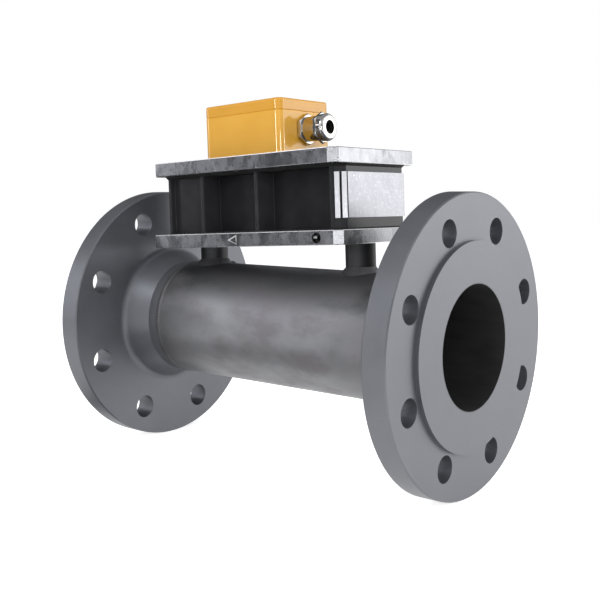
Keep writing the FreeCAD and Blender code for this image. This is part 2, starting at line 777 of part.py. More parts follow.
def fold_point(share, height):
    """A point of the bent corner, a share of the way along it and raised from its inside."""
    return ("%s - (1 - %s) * body_chamfer + (%s) / sqrt(2)" % (END_X, share, height),
            "%s + (1 - %s) * body_chamfer + (%s) / sqrt(2)" % (END_Y, share, height))


GROOVE_SHARE = "(sheet_groove / (body_chamfer * sqrt(2)) / 2)"
half_sheet = [
    (END_X, END_Y),
    fold_point("0", "0"),
    fold_point("0", "sheet_thickness"),
    fold_point("(0.5 - %s)" % GROOVE_SHARE, "sheet_thickness"),
    fold_point("0.5", "sheet_thickness - sheet_groove_depth"),
    fold_point("(0.5 + %s)" % GROOVE_SHARE, "sheet_thickness"),
    ("%s + sheet_thickness - sheet_notch / sqrt(2)" % END_X, "%s + %s + sheet_notch / sqrt(2)" % (END_Y, FOLD)),
    ("%s + sheet_thickness - sheet_notch * cos(22.5 deg)" % END_X,
     "%s + %s - sheet_notch * sin(22.5 deg)" % (END_Y, FOLD)),
    ("%s + sheet_thickness" % END_X, "%s + %s - sheet_notch" % (END_Y, FOLD)),
]
outline = new_sketch(sheet_body, "folded_section", lift="%s + sheet_rise" % BODY_BOTTOM)
polygon(outline, half_sheet + [(x, "-(%s)" % y) for x, y in reversed(half_sheet)])
pad(sheet_body, outline, "sheet_height")
keep(sheet_body)

# Sensor: a threaded holder with its ring seal, and the probe that reaches into one channel.
holder = new_body("sensor_holder", head_point(SENSOR[0], SENSOR[1], COVER_TOP))
holder_section = new_sketch(holder, "holder_section", "XZ_Plane")
groove_start = "(o_ring_diameter / 2 - o_ring_section / 2)"
polygon(holder_section, [
    ("sensor_rod / 2", "-cover_thickness"),
    ("sensor_thread / 2", "-cover_thickness"),
    ("sensor_thread / 2", "o_ring_section * 0.9"),
    ("%s + o_ring_section" % groove_start, "o_ring_section * 0.9"),
    ("%s + o_ring_section" % groove_start, "0"),
    ("sensor_flange / 2", "0"),
    ("sensor_flange / 2", "sensor_flange_height"),
    ("sensor_rod / 2", "sensor_flange_height"),
])
revolve(holder, holder_section, axis="V_Axis")
keep(holder)
ring_seal = doc.addObject("Part::Torus", "sensor_o_ring")
ring_seal.Label = "sensor_o_ring"
ring_seal.setExpression("Radius1", bound("o_ring_diameter / 2"))
ring_seal.setExpression("Radius2", bound("o_ring_section * 0.44"))
place(ring_seal, head_point(SENSOR[0], SENSOR[1], "%s + o_ring_section * 0.45" % COVER_TOP))
keep(ring_seal)
probe = new_body("sensor_probe", head_point(SENSOR[0], SENSOR[1], COVER_TOP))
probe_section = new_sketch(probe, "probe_section", "XZ_Plane")
PROBE_TOP = "sensor_flange_height"
polygon(probe_section, [
    ("0", "-cover_thickness - sensor_tip_length"),
    ("sensor_tip / 2", "-cover_thickness - sensor_tip_length"),
    ("sensor_tip / 2", "-cover_thickness"),
    ("sensor_rod / 2", "-cover_thickness"),
    ("sensor_rod / 2", PROBE_TOP),
    ("0", PROBE_TOP),
])
revolve(probe, probe_section, axis="V_Axis")
PINS = [("%d * sensor_pin_pitch / 2" % side, "0") for side in (1, -1)]
pad(probe, circles(probe, "probe_pins", PINS, "sensor_pin / 2", PROBE_TOP),
    "%s - %s - sensor_flange_height + 1" % (BOARD_TOP, COVER_TOP))
keep(probe)


def box_outline(sketch, inset):
    """The enclosure's outline, drawn an inset inside its outer faces."""
    half_length = "(box_length / 2 - (%s))" % inset
    half_width = "(box_width / 2 - (%s))" % inset
    rectangle(sketch, "%s - %s" % (BOX_MIDDLE, half_length), "%s + %s" % (BOX_MIDDLE, half_length),
              "-%s" % half_width, half_width)


def round_corners(body, size, inset, name):
    """Round the four upright corners of a box outline drawn at an inset."""
    x = number("box_length / 2 - (%s)" % inset)
    y = number("box_width / 2 - (%s)" % inset)
    middle = number(BOX_MIDDLE)

    def wanted(edge):
        spot = edge.Vertexes[0]
        return is_upright(edge) and abs(abs(spot.X - middle) - x) < 1e-4 and abs(abs(spot.Y) - y) < 1e-4
    return fillet(body, size, wanted, name)


BOSS_PLACES = [("%s + %d * (box_length / 2 - boss_inset)" % (BOX_MIDDLE, side_x),
                "%d * (box_width / 2 - boss_inset)" % side_y) for side_x in (1, -1) for side_y in (1, -1)]
POST_PLACES = [("%s + board_place + %d * (board_length / 2 - board_hole_inset)" % (BOX_MIDDLE, side_x),
                "%d * (board_width / 2 - board_hole_inset)" % side_y) for side_x in (1, -1) for side_y in (1, -1)]
FIX_CLEAR = "(fix_screw + clamp_clearance) / 2"
SENSOR_CLEAR = "(sensor_flange + 2 * recess_clearance) / 2"

# Flat seal between the cover plate and the enclosure.
foot_seal = new_body("enclosure_seal")
outline = new_sketch(foot_seal, "foot_outline", lift=COVER_TOP)
box_outline(outline, "box_wall / 2")
pad(foot_seal, outline, "box_seal")
pocket(foot_seal, circles(foot_seal, "foot_holes", FIX_PLACES, FIX_CLEAR, BOX_BOTTOM), "box_seal")
pocket(foot_seal, circles(foot_seal, "foot_sensor", [SENSOR], SENSOR_CLEAR, BOX_BOTTOM), "box_seal")
keep(foot_seal)

# Enclosure base: a cast box with corner bosses, board posts and the gland hole.
box = new_body("enclosure_base")
outline = new_sketch(box, "box_outline", lift=BOX_BOTTOM)
box_outline(outline, "0")
pad(box, outline, "box_height")
round_corners(box, "box_corner", "0", "box_corners")
hollow = new_sketch(box, "box_hollow", lift=SEAM)
box_outline(hollow, "box_wall")
pocket(box, hollow, "box_height - box_floor")
round_corners(box, "box_corner - box_wall", "box_wall", "box_hollow_corners")
pad(box, circles(box, "box_bosses", BOSS_PLACES, "boss_diameter / 2", BOX_INSIDE), "box_height - box_floor")
pad(box, circles(box, "box_posts", POST_PLACES, "post_diameter / 2", BOX_INSIDE), "post_height")
pocket(box, circles(box, "boss_taps", BOSS_PLACES, "lid_screw / 2", SEAM), "lid_screw_reach")
pocket(box, circles(box, "post_taps", POST_PLACES, "board_screw / 2", BOARD_BOTTOM), "board_screw_reach")
pocket(box, circles(box, "floor_holes", FIX_PLACES, FIX_CLEAR, BOX_INSIDE), "box_floor")
pocket(box, circles(box, "floor_sensor", [SENSOR], SENSOR_CLEAR, BOX_INSIDE), "box_floor")
gland_hole = circles(box, "gland_hole", [("0", GLAND_LEVEL)], "(gland_thread + gland_clearance) / 2",
                     BOX_WALL_X, "YZ_Plane")
pocket(box, gland_hole, "box_wall")


def at_box_rim(level):
    """Edges of the outer outline at one level."""
    inner_x = number("box_length / 2 - box_wall / 2")
    inner_y = number("box_width / 2 - box_wall / 2")
    middle = number(BOX_MIDDLE)

    def wanted(edge):
        centre = edge.CenterOfMass
        outside = abs(centre.x - middle) > inner_x or abs(centre.y) > inner_y
        corner = isinstance(edge.Curve, Part.Circle) and abs(edge.Curve.Radius - number("box_corner")) < 1e-4
        return all_at(edge, "Z", level) and (outside or corner)
    return wanted


chamfer(box, "seam_chamfer", at_box_rim(number(SEAM)), "box_rim")
keep(box)

# Lid: a shallow cast cap with a seal groove and four screw recesses.
lid = new_body("enclosure_lid")
outline = new_sketch(lid, "lid_outline", lift=SEAM)
box_outline(outline, "0")
pad(lid, outline, "lid_height")
round_corners(lid, "box_corner", "0", "lid_corners")
fillet(lid, "lid_round", lambda edge: all_at(edge, "Z", number(LID_TOP)), "lid_edge")
chamfer(lid, "seam_chamfer", lambda edge: all_at(edge, "Z", number(SEAM)), "lid_rim")
hollow = new_sketch(lid, "lid_hollow", lift=SEAM)
box_outline(hollow, "box_wall")
pocket(lid, hollow, "lid_height - lid_top", reverse=True)
pad(lid, circles(lid, "lid_bosses", BOSS_PLACES, "boss_diameter / 2", SEAM), "lid_height - lid_top")


def cord_outline(sketch):
    """Both edges of the lid's cord seal, with their corners cut to stay inside the rounded box."""
    for inset in ("(box_wall - lid_seal_width) / 2", "(box_wall + lid_seal_width) / 2"):
        chamfered_outline(sketch, BOX_MIDDLE, "(box_length / 2 - %s)" % inset, "(box_width / 2 - %s)" % inset,
                          "(box_corner - %s) * (2 - sqrt(2))" % inset)


seal_groove = new_sketch(lid, "seal_groove", lift=SEAM)
cord_outline(seal_groove)
pocket(lid, seal_groove, "lid_seal_height", reverse=True)
pocket(lid, circles(lid, "lid_holes", BOSS_PLACES, "(lid_screw + clamp_clearance) / 2", LID_TOP), "lid_height")
pocket(lid, circles(lid, "lid_recesses", BOSS_PLACES, "lid_screw_head / 2 + recess_clearance", LID_TOP),
       "lid_recess")
keep(lid)

# Cord seal in the groove of the lid.
cord_seal = new_body("lid_seal")
outline = new_sketch(cord_seal, "seal_outline", lift=SEAM)
cord_outline(outline)
pad(cord_seal, outline, "lid_seal_height")
keep(cord_seal)


def headed_screws(label, places, seat, shank, reach, head, head_height):
    """Cylinder-head screws: shanks down from the seat, heads above it, a slot across each."""
    screws = new_body(label)
    pad(screws, circles(screws, label + "_shanks", places, "%s / 2" % shank, "%s - (%s)" % (seat, reach)), reach)
    pad(screws, circles(screws, label + "_heads", places, "%s / 2" % head, seat), head_height)
    cross = new_sketch(screws, label + "_slots", lift="%s + %s" % (seat, head_height))
    for x, y in places:
        rectangle(cross, "%s - %s / 2" % (x, head), "%s + %s / 2" % (x, head),
                  "%s - %s / 12" % (y, head), "%s + %s / 12" % (y, head))
    pocket(screws, cross, "%s / 2" % head_height)
    return keep(screws)


headed_screws("enclosure_screws", FIX_PLACES, BOX_INSIDE, "fix_screw", "box_floor + box_seal + fix_depth",
              "fix_head", "fix_head_height")
headed_screws("lid_screws", BOSS_PLACES, "(%s - lid_recess)" % LID_TOP, "lid_screw",
              "lid_height - lid_recess + lid_screw_reach", "lid_screw_head", "lid_screw_head_height")
headed_screws("board_screws", POST_PLACES, BOARD_TOP, "board_screw", "board_thickness + board_screw_reach",
              "board_screw_head", "board_screw_head_height")

# Circuit board with its terminal block, processor and capacitors.
board = new_body("circuit_board")
BOARD_X = "%s + board_place" % BOX_MIDDLE
outline = new_sketch(board, "board_outline", lift=BOARD_BOTTOM)
rectangle(outline, "%s - board_length / 2" % BOARD_X, "%s + board_length / 2" % BOARD_X,
          "-board_width / 2", "board_width / 2")
pad(board, outline, "board_thickness")
pocket(board, circles(board, "board_holes", POST_PLACES, "board_screw / 2", BOARD_TOP), "board_thickness")
PIN_PLACES = [("%s + %s" % (SENSOR[0], x), SENSOR[1]) for x, _ in PINS]
pocket(board, circles(board, "board_pin_holes", PIN_PLACES, "sensor_pin / 2", BOARD_TOP), "board_thickness")
keep(board)
terminal = new_body("terminal_block")
TERMINAL_X = "(%s + (board_length - terminal_length) / 2)" % BOARD_X
outline = new_sketch(terminal, "terminal_outline", lift=BOARD_TOP)
rectangle(outline, "%s - terminal_length / 2" % TERMINAL_X, "%s + terminal_length / 2" % TERMINAL_X,
          "-terminal_width / 2", "terminal_width / 2")
pad(terminal, outline, "terminal_height")
WAYS = range(int(number("terminal_ways")))
WAY_Y = ["(%d + 0.5) * terminal_width / terminal_ways - terminal_width / 2" % way for way in WAYS]
TERMINAL_TOP = "(%s + terminal_height)" % BOARD_TOP
WIRE_PLACES = [(y, "%s + terminal_height / 3" % BOARD_TOP) for y in WAY_Y]
pocket(terminal, circles(terminal, "wire_holes", WIRE_PLACES, "terminal_hole / 2",
                         "%s + terminal_length / 2" % TERMINAL_X, "YZ_Plane"), "terminal_length / 2")
SCREW_PLACES = [(TERMINAL_X, y) for y in WAY_Y]
pocket(terminal, circles(terminal, "terminal_wells", SCREW_PLACES, "terminal_screw_diameter / 2", TERMINAL_TOP),
       "terminal_screw_length")
keep(terminal)
terminal_screws = new_body("terminal_screws")
pad(terminal_screws, circles(terminal_screws, "terminal_shanks", SCREW_PLACES, "terminal_screw_diameter / 2",
                             "%s - terminal_screw_length" % TERMINAL_TOP), "terminal_screw_length - 0.5")
keep(terminal_screws)
chip = new_body("processor_chip")
outline = new_sketch(chip, "chip_outline", lift=BOARD_TOP)
CHIP_X = "(%s - board_length / 6)" % BOARD_X
rectangle(outline, "%s - chip_side / 2" % CHIP_X, "%s + chip_side / 2" % CHIP_X, "-chip_side", "0")
pad(chip, outline, "chip_height")
keep(chip)
capacitors = new_body("capacitors")
CAN_PLACES = [("%s + %d * capacitor_pitch / 2" % (CHIP_X, side), "capacitor_pitch") for side in (1, -1)]
pad(capacitors, circles(capacitors, "capacitor_cans", CAN_PLACES, "capacitor_diameter / 2", BOARD_TOP),
    "capacitor_height")
keep(capacitors)

# Cable gland. Each piece is drawn about the gland's axis, with x = 0 at the outside of the wall.
GLAND = head_point(BOX_WALL_X, "0", GLAND_LEVEL)
HEX_FACE = "washer_thickness"
BARREL_FACE = "(%s + gland_hex_length)" % HEX_FACE
NECK_FACE = "(%s + gland_barrel_length)" % BARREL_FACE
NECK_END = "(%s + gland_neck_length)" % NECK_FACE
NUT_BACK = "(%s + gland_clearance)" % NECK_FACE
NUT_FRONT = "(%s + nut_length)" % NUT_BACK
RING_BACK = "(%s + gland_clearance)" % NECK_END


def turned_piece(label, corners):
    """A turned piece of the gland, from its half section: distance along the axis, radius."""
    piece = new_body(label, GLAND)
    section = new_sketch(piece, label + "_section", "XZ_Plane")
    polygon(section, corners)
    revolve(piece, section)
    return keep(piece)


turned_piece("gland_washer", [
    ("0", "gland_thread / 2"),
    ("0", "washer_diameter / 2"),
    (HEX_FACE, "washer_diameter / 2"),
    (HEX_FACE, "gland_thread / 2"),
])

fitting = new_body("gland_body", GLAND)
hexagon_outline = new_sketch(fitting, "gland_hexagon", "YZ_Plane", HEX_FACE)
hexagon(hexagon_outline, "gland_flats")
pad(fitting, hexagon_outline, "gland_hex_length")
barrel = circles(fitting, "gland_barrel_round", [("0", "0")], "gland_barrel / 2", BARREL_FACE, "YZ_Plane")
pad(fitting, barrel, "gland_barrel_length")
neck = circles(fitting, "gland_neck_round", [("0", "0")], "gland_neck / 2", NECK_FACE, "YZ_Plane")
pad(fitting, neck, "gland_neck_length")
thread = circles(fitting, "gland_thread_round", [("0", "0")], "gland_thread / 2", HEX_FACE, "YZ_Plane")
pad(fitting, thread, "washer_thickness + gland_thread_length", reverse=True)
through = circles(fitting, "gland_bore_round", [("0", "0")], "gland_bore / 2", NECK_END, "YZ_Plane")
pocket(fitting, through, "%s + gland_thread_length" % NECK_END)
SEAL_BACK = "(%s - seal_length)" % NECK_END
seat = circles(fitting, "gland_seat_round", [("0", "0")], "seal_diameter / 2", NECK_END, "YZ_Plane")
pocket(fitting, seat, "seal_length")


def hexagon_cone(body, name, flats, front, back, chamfer_at):
    """Turn the corners of a hexagon off at 30 degrees, at its front or back face."""
    corner = "(%s / 2 / cos(30 deg))" % flats
    start = "(%s / 2 * 1.02)" % flats
    rise = "((%s - %s) * tan(30 deg))" % (corner, start)
    side = 1 if chamfer_at == "front" else -1
    face = front if side == 1 else back
    sketch = new_sketch(body, name, "XZ_Plane")
    polygon(sketch, [
        (face, start),
        (face, "%s * 1.1" % corner),
        ("%s - %d * %s * 1.1" % (face, side, rise), "%s * 1.1" % corner),
        ("%s - %d * %s" % (face, side, rise), corner),
    ])
    before = body.Shape.Volume
    revolve(body, sketch, "Groove")
    if not body.Shape.Volume < before - 1e-6:
        raise RuntimeError("%s cuts nothing" % name)


hexagon_cone(fitting, "gland_hexagon_cone", "gland_flats", BARREL_FACE, HEX_FACE, "front")
keep(fitting)

turned_piece("gland_seal", [
    (SEAL_BACK, "seal_bore / 2"),
    (SEAL_BACK, "seal_diameter / 2"),
    (NECK_END, "seal_diameter / 2"),
    (NECK_END, "seal_bore / 2"),
])
turned_piece("gland_slip_ring", [
    (RING_BACK, "ring_bore / 2"),
    (RING_BACK, "seal_diameter / 2 - gland_clearance"),
    ("%s + ring_thickness" % RING_BACK, "seal_diameter / 2 - gland_clearance"),
    ("%s + ring_thickness" % RING_BACK, "ring_bore / 2"),
])

nut = new_body("gland_nut", GLAND)
hexagon_outline = new_sketch(nut, "nut_hexagon", "YZ_Plane", NUT_BACK)
hexagon(hexagon_outline, "nut_flats")
pad(nut, hexagon_outline, "nut_hex_length")
hexagon_cone(nut, "nut_hexagon_cone", "nut_flats", "(%s + nut_hex_length)" % NUT_BACK, NUT_BACK, "front")
dome = circles(nut, "nut_dome", [("0", "0")], "nut_dome / 2", "(%s + nut_hex_length)" % NUT_BACK, "YZ_Plane")
pad(nut, dome, "nut_length - nut_hex_length")
dome_radius = number("nut_dome / 2")
fillet(nut, "nut_round", lambda edge: is_circle(edge, dome_radius) and all_at(edge, "X", number(NUT_FRONT)),
       "nut_nose")
opening = circles(nut, "nut_opening_round", [("0", "0")], "nut_opening / 2", NUT_FRONT, "YZ_Plane")
pocket(nut, opening, "nut_length")
RING_FRONT = "(%s + ring_thickness + gland_clearance)" % RING_BACK
hollow = circles(nut, "nut_thread", [("0", "0")], "gland_neck / 2 + gland_clearance", RING_FRONT, "YZ_Plane")
pocket(nut, hollow, "%s - %s" % (RING_FRONT, NUT_BACK))
keep(nut)

locknut = new_body("gland_locknut", GLAND)
hexagon_outline = new_sketch(locknut, "locknut_hexagon", "YZ_Plane", "-box_wall")
hexagon(hexagon_outline, "locknut_flats")
pad(locknut, hexagon_outline, "locknut_thickness", reverse=True)
bore = circles(locknut, "locknut_bore", [("0", "0")], "gland_thread / 2", "-box_wall", "YZ_Plane")
pocket(locknut, bore, "locknut_thickness")
keep(locknut)

# Check everything, then write one file for each sub-part.
doc.recompute()
for item in doc.Objects:
    if "Invalid" in item.State or "Error" in item.State:
        raise RuntimeError("%s failed: %s" % (item.Name, item.State))
for item in parts:
    if item.Shape.isNull() or not item.Shape.isValid():
        raise RuntimeError("%s has no valid shape" % item.Label)
os.makedirs("parts", exist_ok=True)
for item in parts:
    item.Shape.exportStep("parts/%s.step" % item.Label)
    print("%-18s solids %d  volume %.1f" % (item.Label, len(item.Shape.Solids), item.Shape.Volume))
print("nodes", len(parts))
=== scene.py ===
# %% [markdown]
# # An oscillation flow meter in a plain studio
#
# The meter is a short flanged pipe with a measuring head on top. The exact solids come in
# as a fixed frame, so this script never models the pipe or the plates again. It adds what
# the solids can't hold: rippled weld beads, a fine thread, the spangle of zinc, the heat
# tint on the pipe, and the light.

# %% Load the solids
import math

import bmesh
import bpy
import numpy as np
from mathutils import Matrix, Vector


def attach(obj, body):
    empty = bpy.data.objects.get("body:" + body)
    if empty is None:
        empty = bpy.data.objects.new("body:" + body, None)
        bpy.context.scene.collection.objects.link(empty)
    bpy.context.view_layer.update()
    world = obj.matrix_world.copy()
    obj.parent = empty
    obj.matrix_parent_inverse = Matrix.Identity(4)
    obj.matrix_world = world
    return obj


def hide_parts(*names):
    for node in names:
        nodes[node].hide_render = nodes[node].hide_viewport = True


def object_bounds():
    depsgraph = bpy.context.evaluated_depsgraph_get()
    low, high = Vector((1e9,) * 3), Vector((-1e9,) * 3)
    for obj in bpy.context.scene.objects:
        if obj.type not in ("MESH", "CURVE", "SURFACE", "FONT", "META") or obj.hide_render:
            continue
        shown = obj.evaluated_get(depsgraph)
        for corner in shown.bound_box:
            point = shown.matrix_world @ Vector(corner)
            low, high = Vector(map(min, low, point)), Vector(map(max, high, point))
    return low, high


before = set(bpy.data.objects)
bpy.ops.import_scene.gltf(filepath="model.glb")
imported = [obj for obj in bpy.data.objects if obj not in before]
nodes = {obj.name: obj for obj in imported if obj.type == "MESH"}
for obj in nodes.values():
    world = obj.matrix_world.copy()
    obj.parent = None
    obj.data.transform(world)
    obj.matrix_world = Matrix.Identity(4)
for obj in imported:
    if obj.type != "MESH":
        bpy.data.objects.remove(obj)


def box_numbers():
    """The whole object's box as plain lists of numbers."""
    return [[round(float(number), 6) for number in corner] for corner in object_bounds()]


solid_box = box_numbers()
print("solids:", len(nodes), "box in metres:", solid_box)

# %% [markdown]
# ## Camera
#
# A camera can be guessed and nudged, or solved. This one was solved: the two flanges are
# circles of a known size and distance, so the ellipses that they make in the photo fix
# where the camera stood and how long its lens was. The photo is a crop, so the optical
# axis isn't in its middle, and a small lens shift stands for that.

# %% Camera from its three axes
PHOTO_SIDE = 600
FOCAL_PIXELS = 958.81
AXIS_PIXEL = (261.51, 281.39)
CAMERA_PLACE = (0.29689, -0.55151, 0.09656)
AZIMUTH, ELEVATION, ROLL = (math.radians(angle) for angle in (40.761, 5.067, 0.104))

back = np.array([math.sin(AZIMUTH) * math.cos(ELEVATION),
                 -math.cos(AZIMUTH) * math.cos(ELEVATION), math.sin(ELEVATION)])
level_right = np.cross(-back, [0, 0, 1])
level_right /= np.linalg.norm(level_right)
level_up = np.cross(level_right, -back)
right = math.cos(ROLL) * level_right + math.sin(ROLL) * level_up
up = -math.sin(ROLL) * level_right + math.cos(ROLL) * level_up

camera_data = bpy.data.cameras.new("photo_camera")
camera_data.sensor_width = 36
camera_data.lens = FOCAL_PIXELS / PHOTO_SIDE * camera_data.sensor_width
camera_data.shift_x = (PHOTO_SIDE / 2 - AXIS_PIXEL[0]) / PHOTO_SIDE
camera_data.shift_y = (AXIS_PIXEL[1] - PHOTO_SIDE / 2) / PHOTO_SIDE
camera_data.clip_start = 0.01
camera = bpy.data.objects.new("photo_camera", camera_data)
turn = Matrix(np.column_stack([right, up, back]).tolist()).to_4x4()
camera.matrix_world = Matrix.Translation(CAMERA_PLACE) @ turn
bpy.context.scene.collection.objects.link(camera)
bpy.context.scene.camera = camera
bpy.context.scene.view_settings.view_transform = "Standard"
print("lens in millimetres: %.1f" % camera_data.lens)
print("shift of the lens: %.3f, %.3f" % (camera_data.shift_x, camera_data.shift_y))

# %% [markdown]
# ## Small tools for finishes
#
# A finish is a little network of nodes. Building one by hand takes many lines, so a few
# helpers add one node each, set it up and return the socket that the next node needs.
# Patterns read Object coordinates, so they are fixed to the metal and have a real scale:
# a noise of scale 100 repeats about every 10 mm.

# %% Helpers that add one node each
def start_finish(name, roughness=0.5, metallic=0.0, **sockets):
    """A new material. Returns it with its node tree and its shader."""
    material = bpy.data.materials.new(name)
    material.use_nodes = True
    tree = material.node_tree
    shader = tree.nodes["Principled BSDF"]
    shader.inputs["Roughness"].default_value = roughness
    shader.inputs["Metallic"].default_value = metallic
    for socket, value in sockets.items():
        shader.inputs[socket.replace("_", " ")].default_value = value
    return material, tree, shader


def feed(tree, socket, value):
    """Gives a socket its value: another socket, a fixed number or a fixed colour."""
    if isinstance(value, bpy.types.NodeSocket):
        tree.links.new(value, socket)
    elif isinstance(value, tuple):
        socket.default_value = (*value, 1)
    else:
        socket.default_value = value


def coordinates(tree, stretch=(1, 1, 1)):
    """Object coordinates in metres, stretched along each axis."""
    source = tree.nodes.new("ShaderNodeTexCoord")
    mapping = tree.nodes.new("ShaderNodeMapping")
    mapping.inputs["Scale"].default_value = stretch
    tree.links.new(source.outputs["Object"], mapping.inputs["Vector"])
    return mapping.outputs["Vector"]


def axes(tree):
    """The X, Y and Z of a point in Object coordinates, each as a socket of its own."""
    split = tree.nodes.new("ShaderNodeSeparateXYZ")
    tree.links.new(coordinates(tree), split.inputs["Vector"])
    return split.outputs["X"], split.outputs["Y"], split.outputs["Z"]


def noise(tree, where, scale, detail=4.0, roughness=0.55, output="Fac"):
    """Soft random clouds: one value, or three at once with the output Color."""
    node = tree.nodes.new("ShaderNodeTexNoise")
    node.inputs["Scale"].default_value = scale
    node.inputs["Detail"].default_value = detail
    node.inputs["Roughness"].default_value = roughness
    tree.links.new(where, node.inputs["Vector"])
    return node.outputs[output]


def crystals(tree, where, scale):
    """Cells of a Voronoi pattern, each in a colour of its own."""
    node = tree.nodes.new("ShaderNodeTexVoronoi")
    node.inputs["Scale"].default_value = scale
    tree.links.new(where, node.inputs["Vector"])
    return node.outputs["Color"]


def ramp(tree, value, *stops):
    """Turns a value into a colour through stops of (place, colour)."""
    node = tree.nodes.new("ShaderNodeValToRGB")
    while len(node.color_ramp.elements) < len(stops):
        node.color_ramp.elements.new(0.5)
    for element, (place, colour) in zip(node.color_ramp.elements, stops):
        element.position = place
        element.color = (*colour, 1)
    tree.links.new(value, node.inputs["Fac"])
    return node.outputs["Color"]


def spread(tree, value, low, high, new_low, new_high):
    """Carries a value from one range to another, and stops at its ends."""
    node = tree.nodes.new("ShaderNodeMapRange")
    ends = {"From Min": low, "From Max": high, "To Min": new_low, "To Max": new_high}
    for place, number in ends.items():
        node.inputs[place].default_value = number
    tree.links.new(value, node.inputs["Value"])
    return node.outputs["Result"]


def blend(tree, share, first, second, kind="MIX"):
    """Mixes two colours by a share. On a mix node, the sockets for colours are 6, 7 and 2."""
    node = tree.nodes.new("ShaderNodeMix")
    node.data_type = "RGBA"
    node.blend_type = kind
    for place, value in ((0, share), (6, first), (7, second)):
        feed(tree, node.inputs[place], value)
    return node.outputs[2]


def arithmetic(tree, operation, first, second=0.0):
    """One sum on one or two values. Each is a socket or a number."""
    node = tree.nodes.new("ShaderNodeMath")
    node.operation = operation
    feed(tree, node.inputs[0], first)
    feed(tree, node.inputs[1], second)
    return node.outputs["Value"]


def emboss(tree, shader, height, depth, strength):
    """A bump of the given depth in metres, wired to the shader."""
    node = tree.nodes.new("ShaderNodeBump")
    node.inputs["Strength"].default_value = strength
    node.inputs["Distance"].default_value = depth
    tree.links.new(height, node.inputs["Height"])
    tree.links.new(node.outputs["Normal"], shader.inputs["Normal"])


def distance_from_pipe_axis(tree):
    """How far a point is from the pipe axis, in metres: the root of y squared plus z squared."""
    _, y, z = axes(tree)
    across, upward = arithmetic(tree, "POWER", y, 2), arithmetic(tree, "POWER", z, 2)
    return arithmetic(tree, "SQRT", arithmetic(tree, "ADD", across, upward))


print("helpers ready, materials so far:", len(bpy.data.materials))

# %% [markdown]
# ## Steel of the flanges and the pipe
#
# The flanges are forgings, turned on the outside and left bare, so they are an even grey
# with faint rings from the tool. The bore isn't machined and stays dark with mill scale.
# A painted mask would need a map for each piece. The distance from the pipe axis picks out
# the bore on the flanges and the pipe alike.

# %% Sizes of the meter that the finishes and the beads need
BORE_RADIUS = 0.04125
PIPE_RADIUS = 0.04445
METER_MIDDLE = -0.147  # X of the middle between the two flanges
HEAD_SLOPE = math.radians(2.8)
print("pipe wall in millimetres: %.1f" % (1000 * (PIPE_RADIUS - BORE_RADIUS)))

# %% Turned steel
RING_PHASE = 9000  # radians a metre, which makes a ring every 0.7 mm


def bore_share(tree):
    """One on the bore's wall, nought outside it, with a soft step half a millimetre wide."""
    distance = distance_from_pipe_axis(tree)
    return spread(tree, distance, BORE_RADIUS + 0.0002, BORE_RADIUS + 0.0007, 1, 0)


def mill_scale(tree):
    """The dark blue-grey skin of a bore that was never machined."""
    streaks = noise(tree, coordinates(tree, stretch=(0.3, 1, 1)), 150, detail=6)
    return ramp(tree, streaks, (0.3, (0.046, 0.046, 0.048)), (0.7, (0.064, 0.062, 0.064)))


def turned_steel(name, light, dark):
    """Bare steel with faint rings round the pipe axis, and mill scale in its bore."""
    material, tree, shader = start_finish(name, metallic=0.55)
    cloud = noise(tree, coordinates(tree), 28, detail=5)
    grain = noise(tree, coordinates(tree), 900, detail=2)
    body = ramp(tree, cloud, (0.3, dark), (0.7, light))
    speckled = blend(tree, spread(tree, grain, 0.3, 0.7, 0.0, 0.16), body, (0.1, 0.1, 0.11))
    colour = blend(tree, bore_share(tree), speckled, mill_scale(tree))
    tree.links.new(colour, shader.inputs["Base Color"])
    tree.links.new(spread(tree, cloud, 0.3, 0.7, 0.38, 0.48), shader.inputs["Roughness"])
    phase = arithmetic(tree, "MULTIPLY", distance_from_pipe_axis(tree), RING_PHASE)
    rings = arithmetic(tree, "SINE", phase)
    height = arithmetic(tree, "ADD", arithmetic(tree, "MULTIPLY", rings, 0.25), grain)
    emboss(tree, shader, height, 0.00002, 0.5)
    return material


flange_steel = turned_steel("turned_flange_steel", (0.154, 0.16, 0.176), (0.132, 0.138, 0.153))
print("made", flange_steel.name)
